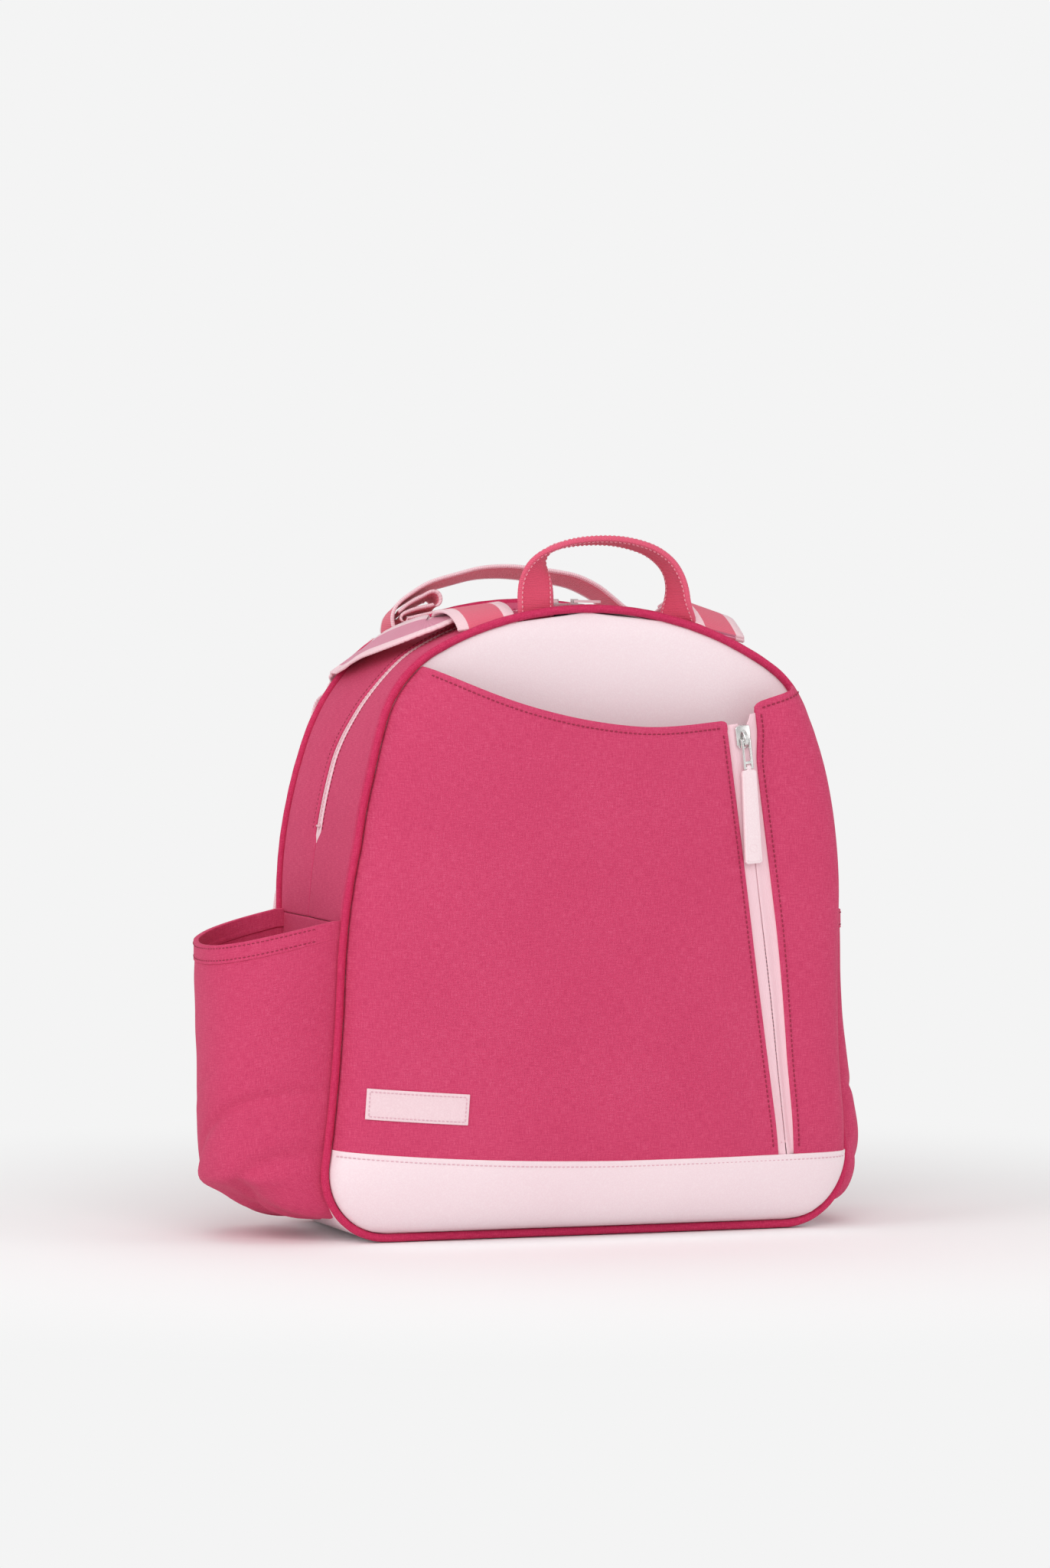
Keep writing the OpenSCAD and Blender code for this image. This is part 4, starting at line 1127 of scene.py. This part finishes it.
tb.data.transform(Matrix.Translation((0, 0, -22.5 * MM)) @ Matrix.Rotation(math.radians(3.4), 4, "Y") @ Matrix.Translation((0, 0, 22.5 * MM)))
tb.data.transform(ZM)
put(tb, "pocket_tab", "pale_leather", "pocket_zip_tab")

# =============================================================== bottle pockets
def sideprofile(left):
    if left:
        return [(244.5, 215), (243.6, 190), (242.2, 150), (241.2, 110), (240.6, 75), (240.2, 52), (239.7, 42.5), (237.6, 38.2), (232, 35), (224, 31), (216, 25.5), (207, 19.5), (197, 15.5), (187, 13.4), (178, 12.8), (170, 12.6)]
    return [(180.5, 215), (181, 165), (183, 135), (187, 105), (192, 80), (195.2, 62), (195.6, 47), (193.6, 33), (189, 23), (183, 17), (176, 14), (171, 13.5)]


def bottle_pocket(left):
    nm = "left" if left else "right"
    sgn = -1 if left else 1
    e = 0.62 if left else 0.42
    prof = catmull(np.array(sideprofile(left)), 110)
    slope = 0.22 if left else 0.03

    def rim(x):
        return 205.0 - slope * np.maximum(x - 168, 0)

    th = np.radians(np.concatenate([[-90, -89.6, -88.6, -87], np.linspace(-84.5, 84.5, 84), [87, 88.6, 89.6, 90]]))

    def build(name, lo, hi, thick, extra, node, mat=M_CANVAS, nv=60):
        """Rows run from the rim down the side and in under the pocket. lo and hi are lengths along the profile below the rim."""
        rows = []
        for t in th:
            c = max(math.cos(t), 0.0) ** e
            x = 161 + (prof[:, 0] - 161) * c
            z = prof[:, 1].copy()
            lift = (1 - c) * (15.0 if left and t < 0 else 6.0) * np.clip((60 - z) / 45, 0, 1)
            z = z + lift
            r0 = rim(x)
            keep = z <= r0 + 0.01
            i0 = np.argmax(keep)
            line = np.stack([x, z], 1)
            if i0 > 0:
                f = (z[i0 - 1] - r0[i0 - 1]) / max((z[i0 - 1] - r0[i0 - 1]) - (z[i0] - r0[i0]), 1e-6)
                start = line[i0 - 1] * (1 - f) + line[i0] * f
                line = np.vstack([start, line[i0:]])
            s = np.concatenate([[0], np.cumsum(np.linalg.norm(np.diff(line, axis=0), axis=1))])
            b = s[-1] if hi is None else min(hi, s[-1])
            ss = np.linspace(lo, b, nv)
            rows.append(np.stack([np.interp(ss, s, line[:, 0]), np.full(nv, 0.0), np.interp(ss, s, line[:, 1]), ss], 1))
        G = np.array(rows)  # [t][v][x, y, z, s]
        ct = np.cos(th)[:, None]
        G[:, :, 1] = -8 + (64 - 2.0 * np.clip((60 - G[:, :, 2]) / 45, 0, 1)) * np.sin(th)[:, None] - 14 * ct**2
        P = G[:, :, :3].copy()
        # outward normals from the grid
        du = np.gradient(P, axis=0)
        dv = np.gradient(P, axis=1)
        N = unit(np.cross(dv, du))
        flipn = np.sign((N * np.array([1.0, 0, 0])).sum(-1).mean() or 1)
        N = N * flipn
        free = np.clip(np.cos(th)[:, None] ** 0.5 * 1.2, 0, 1)
        d = extra(P, G[:, :, 3], np.repeat(th[:, None], P.shape[1], 1)) * free
        P = P + N * d[..., None]
        arc = np.concatenate([[0], np.cumsum(np.linalg.norm(np.diff(P[:, 3], axis=0), axis=1))])
        uv = np.stack([np.repeat(arc[:, None], P.shape[1], 1), G[:, :, 3]], -1)
        P[..., 0] *= sgn
        # no part goes inside the bag's side
        P[..., 2] = np.maximum(P[..., 2], 0.3)
        o = shell(name, P, uv, mat, thick, out=np.array([sgn * 1.0, 0, 0]))
        return put(o, "bag", "raspberry_canvas", node), P, N * np.array([sgn, 1, 1])

    def folds(P, s, t):
        f = fbm(P.reshape(-1, 3), 80, 21.0 + (0 if left else 9), 3).reshape(s.shape) * 1.5
        z = P[..., 2]
        y = P[..., 1]
        # slack diagonal folds low down towards the back, small gathers at the seam
        a = (y * 0.55 + z * 0.83)
        low = smooth((95 - z) / 70)
        f = f + 2.2 * low * np.sin(a / 9.5 + 1.3 * np.sin(y / 24)) * (0.55 + 0.45 * np.sin(y / 31 + 2))
        # soft creases that run down and forward from the front seam
        b = y * 0.6 + z * 0.8
        m_ = smooth((135 - z) / 50) * smooth((8 - y) / 24) * smooth((z - 14) / 14)
        c1 = np.exp(-((np.sin(b / 11.0 + 0.35 * np.sin(z / 15)) / 0.36) ** 2))
        f = f - m_ * (3.8 * c1 * (0.62 + 0.38 * np.sin(b / 21.0 + 1.0)) - 0.9)
        g = smooth((34 - z) / 18)
        f = f + 1.1 * g * np.sin(y / 3.7 + 0.8 * np.sin(z / 5)) * (1 if left else 0.4)
        # the rim is drawn in a little
        f = f - 1.2 * np.exp(-(s / 14.0) ** 2)
        return f * (1.0 if left else 0.55)

    body, Pb, Nb = build(f"bottle_pocket_cloth_{nm}", 5.0, None, 2.2, folds, f"bottle_pocket_{nm}", nv=92)

    def hemf(P, s, t):
        return folds(P, s, t) * 0.9 + 0.75 - 0.3 * np.exp(-((s - 9.8) / 0.8) ** 2)

    hem, Ph, Nh = build(f"bottle_hem_cloth_{nm}", 0.0, 12.0, 3.4, hemf, f"bottle_hem_{nm}", nv=18)
    k = int(round(9.8 / 12.0 * 17))
    row = Ph[4:-4, k]
    put(stitches(f"bottle_hem_stitching_{nm}", row, Nh[4:-4, k], M_TH_R, 3.0, 2.1, 0.33), "bag", "raspberry_canvas")
    k2 = int(round(2.0 / 12.0 * 17))
    put(stitches(f"bottle_hem_edge_stitching_{nm}", Ph[4:-4, k2], Nh[4:-4, k2], M_TH_R, 3.0, 2.1, 0.3), "bag", "raspberry_canvas")


bottle_pocket(True)
bottle_pocket(False)

# =============================================================== top handle
HX = 15.0


def ribbon_path(rows, n, passes=3):
    """Rows of x, y, z and width vector, joined by a smooth curve."""
    q = catmull(np.array(rows, float), n)
    for _ in range(passes):
        q[1:-1] = (q[:-2] + 2 * q[1:-1] + q[2:]) / 4
    return q[:, :3], unit(q[:, 3:])


HY = -68.8
hrows = [(-32.6, HY, 381, 1, 0, 0), (-32.6, HY, 392, 1, 0, 0), (-32.6, HY, 401, 1, 0, 0), (-32.8, HY, 410, 1, 0, 0), (-32.6, HY, 419, 0.97, 0.2, -0.03), (-31, HY, 428, 0.75, 0.62, -0.08), (-26.5, HY, 435.6, 0.35, 0.9, -0.12), (-18, HY, 441, 0, 1, -0.13), (-6, HY, 443.6, 0, 1, -0.13), (8, HY, 444.6, 0, 1, -0.13), (22, HY, 444, 0, 1, -0.13), (35, HY, 441.4, -0.02, 1, -0.13), (46, HY, 437.2, -0.05, 1, -0.12), (55, HY, 430.5, -0.1, 1, -0.1), (60.5, HY, 422.5, -0.15, 0.98, -0.06), (63, HY, 413.5, -0.25, 0.95, -0.04), (63.2, HY, 405, -0.42, 0.9, 0), (63, HY, 398, -0.72, 0.68, 0), (63, HY, 390, -1, 0.2, 0), (63, HY, 378, -1, 0, 0)]
hp, hwv = ribbon_path(hrows, 240)
HB = ("bag", "top_handle", (HX * MM, -0.0688, 0.399), (HX * MM, -0.0688, 0.411))
H1 = band("top_handle_webbing", hp, hwv, 24.0, 3.4, [M_HANDLE] * 3, ribs=0.14, rib=1.3)
put(H1, "", "handle_webbing", "top_handle", "top_handle_roots", blend=HB)
t_, w_, n_ = frames(hp, hwv)
for i, (sv, up) in enumerate(((1, 1), (-1, 1), (1, -1), (-1, -1))):
    p = hp + w_ * sv * 9.4 + n_ * up * 1.75
    st = stitches(f"top_handle_stitching_{i}", p[6:-6], (n_ * up)[6:-6], M_TH_C, 3.0, 2.1, 0.46)
    put(st, "", "handle_webbing", blend=HB)

# =============================================================== rear carry loop
LY = 72.0
W_ = (0, 1, -0.36)
rrows = [(-79, 71.8, 359, 1, 0, 0), (-80.5, 71.8, 366, 0.95, 0.3, -0.05), (-83.4, LY, 374, 0.5, 0.85, -0.2), (-86, LY, 381) + W_, (-87, LY, 387) + W_, (-86.2, LY, 392.6) + W_, (-82.6, LY, 398.2) + W_, (-74, LY, 404.6) + W_, (-61, LY, 411.6) + W_, (-41, LY, 417.2) + W_, (-26, LY, 420.6) + W_, (-11, LY, 421.5) + W_, (3, LY, 420.7) + W_, (25, LY, 417.8) + W_, (40, LY, 414.6) + W_, (53, LY, 408.7) + W_, (62, LY, 402.4) + W_, (69, LY, 396, -0.2, 1, -0.3), (74, LY, 389, -0.7, 0.7, -0.1), (75, 71.8, 380, -1, 0, 0), (75, 71.8, 370, -1, 0, 0), (75, 71.8, 359, -1, 0, 0)]
rp, rw = ribbon_path(rrows, 330)
R1 = band("rear_loop_webbing", rp, rw, 25.0, 2.2, [M_LOOP, M_LOOP_U, M_STRAP_E], ribs=0.22, rib=1.3)
RB = ("bag", "rear_loop", (0, 0.0725, 0.389), (0, 0.0725, 0.401))
put(R1, "", "coral_webbing", "rear_loop", "rear_loop_patches", blend=RB)
# the spare end of the loop is folded in three under it
zrows = [(-81.5, LY, 393.6), (-75.5, LY, 398), (-67, LY, 402.4), (-60.5, LY, 405.4), (-57, LY, 404.8), (-55.4, LY, 401.6), (-56.4, LY, 398.2), (-60, LY, 396.6), (-70, LY, 394.6), (-77, LY, 392.4), (-80, LY, 390.6), (-79.4, LY, 388.4), (-75.5, LY, 388.2), (-66, LY, 390.2), (-53.5, LY, 392.6)]
zp, zw = ribbon_path([r + W_ for r in zrows], 170, 1)
Z1 = band("rear_loop_folded_end", zp, zw, 25.0, 2.0, [M_LOOP, M_LOOP_U, M_STRAP_E], ribs=0.22, rib=1.3)
put(Z1, "", "coral_webbing", blend=RB)
for i0, xc in ((0, -79.5), (1, 75.0)):
    # two upright rows of stitches on each sewn foot
    for sv in (-8, 8):
        zz = np.linspace(361, 367 if i0 == 0 else 384, 24)
        p = np.stack([0 * zz + xc + sv, 0 * zz + 72.95, zz], 1)
        put(stitches(f"rear_loop_stitching_{i0}_{'a' if sv < 0 else 'b'}", p, np.tile([0, 1.0, 0], (24, 1)), M_TH_C, 3.0, 2.1, 0.3), "bag", "coral_webbing")

# =============================================================== shoulder straps
# left: the strap comes out from under its sewn root and crosses the gusset towards the back; rows are x, y, z and width vector
SP_L = [(-50, -21, 395.6, 0.25, 0.96, 0), (-60, -22.5, 396, 0.27, 0.96, 0), (-69.9, -24, 395.8, 0.284, 0.959, 0.008), (-77.1, -28, 394.9, 0.344, 0.937, 0.058), (-84, -31.5, 393.5, 0.44, 0.89, 0.135), (-92.1, -32.5, 391.0, 0.56, 0.78, 0.27), (-98.4, -28.5, 388.7, 0.58, 0.73, 0.36), (-104.5, -20, 385.8, 0.59, 0.71, 0.395), (-110, -9.5, 382.5, 0.6, 0.7, 0.39), (-113.6, 5, 379, 0.62, 0.69, 0.36), (-115.4, 21, 375, 0.62, 0.71, 0.33), (-115.8, 36, 371.2, 0.6, 0.74, 0.3), (-114.8, 51, 368.6, 0.52, 0.83, 0.22), (-113.2, 66, 366.6, 0.48, 0.87, 0.12), (-112.6, 77, 362.2, 0.6, 0.8, 0.04), (-112.3, 83, 354.5, 0.74, 0.67, 0)]
ROOT_L = [(-66, -72, 389.5), (-66, -69, 393), (-66, -64, 396.2), (-66, -56, 399.2), (-66, -47, 401), (-66.2, -38, 401.6), (-66.4, -29, 401), (-66.4, -21, 399.4), (-66, -15.5, 397.2)]
# right: one run, sewn further out
SP_R = np.array([[-92, -71, 382.5], [-91.6, -66, 386.6], [-91.2, -59, 391], [-91, -50, 394.8], [-91, -42, 396.8], [-91.5, -32, 397.6], [-92.5, -20, 396.6], [-95, -5, 393.8], [-98, 15, 389.8], [-102, 35, 386], [-106, 52, 382.5], [-109.5, 68, 379.3], [-110.5, 78, 376.2], [-110.6, 83, 371.5]])
ST_R = np.radians(np.array([24, 23, 21, 19, 19, 19, 20, 22, 25, 28, 31, 33, 28, 18.0]))
SA, SB = np.array([-110.4, 84, 363.6]), np.array([-134.4, 84, 49.6])
SLEN = np.linalg.norm(SB - SA)
SAX = (SB - SA) / SLEN
CURVE = np.array([[0, 0], [0.025, 0.4], [0.06, 3], [0.1, 8], [0.16, 18], [0.24, 33], [0.33, 47], [0.42, 57], [0.5, 62.5], [0.56, 64.6], [0.61, 64], [0.65, 60.5], [0.87, 29.7], [0.905, 22], [0.935, 12.5], [0.96, 4], [0.98, 0.6], [1, 0]])
WDIR = np.array([0.997, 0, -0.0762])
ROOT = np.array([[-134.4, 84, 46.8], [-134.6, 83.2, 42.6], [-135.2, 80.6, 37], [-136, 76.8, 32], [-137, 74.4, 26], [-138, 74, 19]])


def strap(left):
    nm = "left" if left else "right"
    body = f"strap_{nm}"
    sg = 1 if left else -1
    mir = np.array([sg, 1, 1.0])
    loop = np.array([SA + SAX * c[0] * SLEN + np.array([0, 1.0, 0]) * c[1] for c in CURVE])
    # the straight run between the 12th and 13th points stays straight
    if left:
        lw = np.tile(WDIR, (8, 1))
        lw[0] = (0.88, 0.47, -0.05)
        U6 = catmull(np.vstack([np.array(SP_L), np.hstack([loop[2:10], lw])]), 420)
    else:
        U6 = catmull(np.hstack([np.vstack([SP_R, loop[:10]]), np.vstack([np.stack([np.cos(ST_R), 0 * ST_R, np.sin(ST_R)], 1), np.tile(WDIR, (10, 1))])]), 420)
    low_pts = np.vstack([loop[8:12], loop[11] * 0.66 + loop[12] * 0.34, loop[11] * 0.33 + loop[12] * 0.67, loop[12:], ROOT])
    low_w = np.vstack([np.tile(WDIR, (len(low_pts) - len(ROOT), 1)), np.tile([1.0, 0, 0], (len(ROOT), 1))])
    L6 = catmull(np.hstack([low_pts, low_w]), 330)
    obs = []
    for name, S6, bl, lay in (("upper", U6, ("bag", body, (sg * -0.1104, 0.084, 0.367), (sg * -0.1125, 0.084, 0.330)), 0.0), ("lower", L6, (body, "bag", (sg * -0.131, 0.084, 0.094), (sg * -0.1344, 0.084, 0.050)), 0.0)):
        p = S6[:, :3] * mir
        w = unit(S6[:, 3:]) * mir
        if not left:
            w = -w
        t, w, nn = frames(p, w)
        if name == "lower":
            # lies against the upper strap where the two are sewn together
            s = length(p)
            p = p + nn * (-1.0 * 2.05 * smooth((34 - s) / 14))[:, None] * (1 if True else 1)
        wid = 38.0
        o = band(f"strap_{name}_{nm}_webbing", p, w, wid, 1.9, [M_STRAP, M_STRAP_U, M_STRAP_E], ribs=0.6 if name == "upper" else 0.45, rib=2.6 if name == "upper" else 1.3)
        nodes = (f"strap_top_{nm}", f"strap_{nm}") if name == "upper" else (f"strap_root_{nm}",)
        put(o, "", "coral_webbing", *nodes, blend=bl)
        obs.append((p, w, nn))
    if left:
        q, qw = ribbon_path([r + (math.cos(math.radians(a)), 0, math.sin(math.radians(a))) for r, a in zip(ROOT_L, (16, 15, 13, 11, 9, 8, 7, 5, 4))], 90, 2)
        put(band("strap_root_piece_left", q, qw, 38.0, 1.9, [M_STRAP_U, M_STRAP, M_STRAP_E], ribs=0.45, rib=2.6), "bag", "coral_webbing")
    else:
        q, qw = ribbon_path([tuple(r + np.array([0, 0, 2.1])) + (math.cos(a), 0, math.sin(a)) for r, a in zip(SP_R[:9], ST_R[:9])], 110, 2)
        put(band("strap_root_piece_right", q * np.array([-1, 1, 1]), -qw * np.array([-1, 1, 1]), 38.0, 1.9, [M_STRAP_U, M_STRAP, M_STRAP_E], ribs=0.45, rib=2.6), "bag", "coral_webbing")
    # lap seam: a box of stitches where the two parts of the strap are sewn together
    p, w, nn = obs[0]
    s = length(p)
    for j, back in enumerate((4.0, 22.0)):
        i = int(np.argmin(np.abs(s - (s[-1] - back))))
        a = np.linspace(-15, 15, 20)[:, None]
        for upn, off in ((1, 1.0), (-1, -3.1)):
            q = p[i] + w[i] * a + nn[i] * off * 1.0
            put(stitches(f"strap_lap_{nm}_{j}_{upn}", q, np.tile(nn[i] * upn, (20, 1)), M_TH_C, 3.0, 2.1, 0.3), body, "coral_webbing")
    for sv in (-15, 15):
        m_ = (s > s[-1] - 22) & (s < s[-1] - 4)
        q = p[m_] + w[m_] * sv + nn[m_] * 1.0
        put(stitches(f"strap_lap_side_{nm}_{'a' if sv < 0 else 'b'}", q, nn[m_], M_TH_C, 3.0, 2.1, 0.3), body, "coral_webbing")
    return obs


SL = strap(True)
SRR = strap(False)

# adjusters: rounded three-bar slides
p0 = np.array([CURVE[11, 0] * SLEN, CURVE[11, 1]])
p1 = np.array([CURVE[12, 0] * SLEN, CURVE[12, 1]])
run = math.atan2(p1[1] - p0[1], p1[0] - p0[0])
sang = math.atan2(-(SB - SA)[2], (SB - SA)[0])
AM = Matrix.Translation(Vector(SA * MM)) @ Matrix.Rotation(sang, 4, "Y") @ Matrix.Translation((p0[0] * MM, p0[1] * MM, 0)) @ Matrix.Rotation(run, 4, "Z") @ Matrix.Translation((20 * MM, 0, 0))
for nm, mirror in (("left", False), ("right", True)):
    parts = []
    for z in (-19 - 4.2, 19 + 0.8):
        parts.append(box_piece("aj_a", (-14, -4.2, z), (14, 4.2, z + 3.4), M_METAL, 1.2, 4))
    for x in (-14, 10.2):
        parts.append(box_piece("aj_b", (x, 1.7, -21), (x + 3.8, 4.2, 21), M_METAL, 1.1, 4))
    parts.append(box_piece("aj_c", (-2.5, -4.2, -21), (2.5, -1.7, 21), M_METAL, 1.1, 4))
    a = join(f"adjuster_{nm}_metal", parts)
    a.data.transform(AM)
    if mirror:
        a.data.transform(Matrix.Scale(-1, 4, (1, 0, 0)))
        a.data.flip_normals()
    put(a, f"adjuster_{nm}", "silver_metal", f"strap_adjuster_{nm}")

# corner tabs that the straps are sewn under
for nm, sg in (("left", 1), ("right", -1)):
    pts = [(-160.5, 45.5), (-120.5, 12.4), (-148, 12.4), (-162.6, 24)]
    pts = [(sg * x, z) for x, z in pts]
    if sg < 0:
        pts = pts[::-1]
    o = extrude_outline(f"corner_tab_{nm}_cloth", pts, 70.2, 72.4, M_CANVAS, 0.7, 3)
    o.data.transform(XZ)
    fix_normals(o)
    put(o, "bag", "raspberry_canvas", f"corner_tab_{nm}")
    a, b = np.array([sg * -157.0, 72.45, 40.6]), np.array([sg * -124.0, 72.45, 14.4])
    k = np.linspace(0, 1, 40)[:, None]
    put(stitches(f"corner_tab_stitching_{nm}", a * (1 - k) + b * k, np.tile([0, 1.0, 0], (40, 1)), M_TH_R, 3.0, 2.1, 0.33), "bag", "raspberry_canvas")

# =============================================================== padded back
us = np.linspace(-1, 1, 90)
zs = np.linspace(0, 1, 100)
U, T = np.meshgrid(us, zs)
zlo, zhi = 5.4, 404 - 5.4
Zb = zlo + (zhi - zlo) * T
Xb = hw(Zb, 5.4) * U
Xb = np.where(Zb < 49.4, np.minimum(np.abs(Xb), 134.5 + np.sqrt(np.maximum(38.6**2 - (44 - Zb).clip(0) ** 2, 0))) * np.sign(Xb), Xb)
dist = np.minimum(np.minimum(hw(Zb, 5.4) - np.abs(Xb), zhi - Zb), Zb - zlo)
dist = np.minimum(dist, (204 + 216.6 - 204) - np.sqrt(np.maximum((Zb - 182), 0) ** 2 + Xb**2) + 0 * Zb)
dist = np.maximum(dist, 0)
base = 63.0 + 6.2 * smooth(dist / 11.0)
# three upright channels and a cross seam quilt the foam
q1 = np.exp(-((np.abs(Xb) - 52) / 2.6) ** 2)
q2 = np.exp(-((Zb - 118) / 2.6) ** 2) + np.exp(-((Zb - 330) / 2.6) ** 2)
inner = smooth((dist - 10) / 10)
pads = 1.6 * inner
Yb = base + pads * (1 - np.clip(q1 * (Zb < 330) * (Zb > 118) + q2 * (np.abs(Xb) < 150), 0, 1) * 1.7)
flat = np.stack([Xb, 0 * Xb, Zb], -1).reshape(-1, 3)
Yb = Yb + 0.5 * fbm(flat, 60, 31, 2).reshape(Xb.shape) * inner
Yb = np.minimum(Yb, 70.3)
bp = shell("back_pad_cloth", warp(np.stack([Xb, Yb, Zb], -1)), np.stack([Xb, Zb], -1), M_CANVAS, 2.0, out=np.array([0, 1.0, 0]))
put(bp, "bag", "raspberry_canvas", "back_panel")


def back_row(name, xs_, zs_):
    xs_, zs_ = np.asarray(xs_, float), np.asarray(zs_, float)
    ys = []
    for x, z in zip(xs_, zs_):
        j = int(np.argmin(np.abs(Zb[:, 0] - z)))
        i = int(np.argmin(np.abs(Xb[j] - x)))
        ys.append(Yb[j, i])
    ys = np.convolve(np.pad(ys, 4, mode="edge"), np.ones(9) / 9, "valid")
    p = warp(np.stack([xs_, ys + 0.15, zs_], 1))
    put(stitches(name, p, np.tile([0, 1.0, 0], (len(p), 1)), M_TH_R, 3.2, 2.2, 0.33), "bag", "raspberry_canvas")


k = np.linspace(118, 330, 180)
back_row("back_quilting_a", np.full(180, -52.0), k)
back_row("back_quilting_b", np.full(180, 52.0), k)
back_row("back_quilting_c", np.linspace(-148, 148, 200), np.full(200, 118.0))
back_row("back_quilting_d", np.linspace(-118, 118, 200), np.full(200, 330.0))

# =============================================================== CAD parts kept as they are
KEEP = {
    "back_foam": (M_FOAM, "foam"), "back_board": (M_BOARD, "stiffener"), "base_board": (M_BOARD, "stiffener"),
    "main_slider_left": (M_METAL, None), "main_slider_right": (M_METAL, None), "main_puller_left": (M_TAB, None), "main_puller_right": (M_TAB, None),
}
for nn_, ob in NODES.items():
    if nn_ in KEEP:
        ob.data.materials.clear()
        ob.data.materials.append(KEEP[nn_][0])
        if not ob.data.uv_layers:
            pass
    elif not ob.hide_render:
        print("NOT REPLACED", nn_)

# =============================================================== camera, light, floor
cam_d = bpy.data.cameras.new("camera")
cam = bpy.data.objects.new("camera", cam_d)
SC.collection.objects.link(cam)
cam_d.sensor_width = 36
cam_d.sensor_fit = "AUTO"
cam_d.lens = 10250 / 2048 * 36
cam_d.clip_end = 50
cam_d.dof.use_dof = False
back = Vector((-0.31687, -0.94700, 0.05234))
target = Vector((-0.0419, -0.075, 0.2899))
cam.location = target + back * 5.0
cam.rotation_euler = back.to_track_quat("Z", "Y").to_euler()
SC.camera = cam

PAPER = 0.905
FLOOR = 0.97
SC.view_settings.view_transform = "Standard"
SC.view_settings.look = "None"
w = bpy.data.worlds.new("world") if SC.world is None else SC.world
SC.world = w
w.use_nodes = True
wn = w.node_tree
wn.nodes.clear()
bgn = wn.nodes.new("ShaderNodeBackground")
bgn.inputs[0].default_value = (1, 1, 1, 1)
bgn.inputs[1].default_value = 0.55
bgc = wn.nodes.new("ShaderNodeBackground")
bgc.inputs[0].default_value = (1, 1, 1, 1)
bgc.inputs[1].default_value = PAPER
lp = wn.nodes.new("ShaderNodeLightPath")
wm = wn.nodes.new("ShaderNodeMixShader")
wo = wn.nodes.new("ShaderNodeOutputWorld")
wn.links.new(lp.outputs["Is Camera Ray"], wm.inputs[0])
wn.links.new(bgn.outputs[0], wm.inputs[1])
wn.links.new(bgc.outputs[0], wm.inputs[2])
wn.links.new(wm.outputs[0], wo.inputs[0])


def area(name, loc, size, power, look):
    d = bpy.data.lights.new(name, "AREA")
    d.shape = "RECTANGLE"
    d.size, d.size_y = size
    d.energy = power
    o = bpy.data.objects.new(name, d)
    o.location = loc
    o.rotation_euler = (Vector(loc) - Vector(look)).to_track_quat("Z", "Y").to_euler()
    SC.collection.objects.link(o)
    return o


area("key", (-0.7, -2.8, 1.9), (2.4, 2.0), 34, (0, 0, 0.2))
area("fill_left", (-2.5, -0.9, 1.2), (1.6, 2.0), 21, (0, 0, 0.2))
area("fill_right", (2.3, -1.4, 1.1), (1.4, 2.0), 9, (0, 0, 0.2))
area("top", (0, 0.2, 2.6), (2.4, 2.4), 9, (0, 0, 0.2))

# floor: white paper near the bag, fading to the same even white as the backdrop
R_ = [0.0, 0.15, 0.3, 0.5, 0.75, 1.0, 1.4, 2.0, 4.0, 9.0, 40.0]
V, F = [(0, 0, -0.4)], []
NS = 48
for r in R_[1:]:
    for i in range(NS):
        a = 2 * math.pi * i / NS
        V.append((r * 1000 * math.cos(a), r * 1000 * math.sin(a), -0.4))
for i in range(NS):
    F.append((0, 1 + i, 1 + (i + 1) % NS))
for k_ in range(len(R_) - 2):
    for i in range(NS):
        a, b = 1 + k_ * NS + i, 1 + k_ * NS + (i + 1) % NS
        F.append((a, a + NS, b + NS, b))
k = Mat("studio_paper")
g = k.noise(k.obj(), 3.0, 2.0, 0.5)
k.link(k.mix(g, (FLOOR, FLOOR, FLOOR, 1), (FLOOR * 1.01, FLOOR * 1.01, FLOOR * 1.01, 1)), k.b.inputs["Base Color"])
k.b.inputs["Roughness"].default_value = 0.95
k.b.inputs["Specular IOR Level"].default_value = 0.0
nt = k.m.node_tree
ln_ = nt.nodes.new("ShaderNodeVectorMath")
ln_.operation = "LENGTH"
nt.links.new(k.obj(), ln_.inputs[0])
mr = nt.nodes.new("ShaderNodeMapRange")
mr.interpolation_type = "SMOOTHSTEP"
mr.inputs["From Min"].default_value = 0.3
mr.inputs["From Max"].default_value = 0.75
nt.links.new(ln_.outputs["Value"], mr.inputs["Value"])
em = nt.nodes.new("ShaderNodeEmission")
em.inputs[0].default_value = (1, 1, 1, 1)
em.inputs[1].default_value = PAPER
ms = nt.nodes.new("ShaderNodeMixShader")
outn = [n for n in nt.nodes if n.bl_idname == "ShaderNodeOutputMaterial"][0]
nt.links.new(mr.outputs["Result"], ms.inputs[0])
nt.links.new(k.b.outputs[0], ms.inputs[1])
nt.links.new(em.outputs[0], ms.inputs[2])
nt.links.new(ms.outputs[0], outn.inputs["Surface"])
floor = mesh("studio_floor", np.array(V, float), F, np.zeros((len(V), 2)), [k.m])
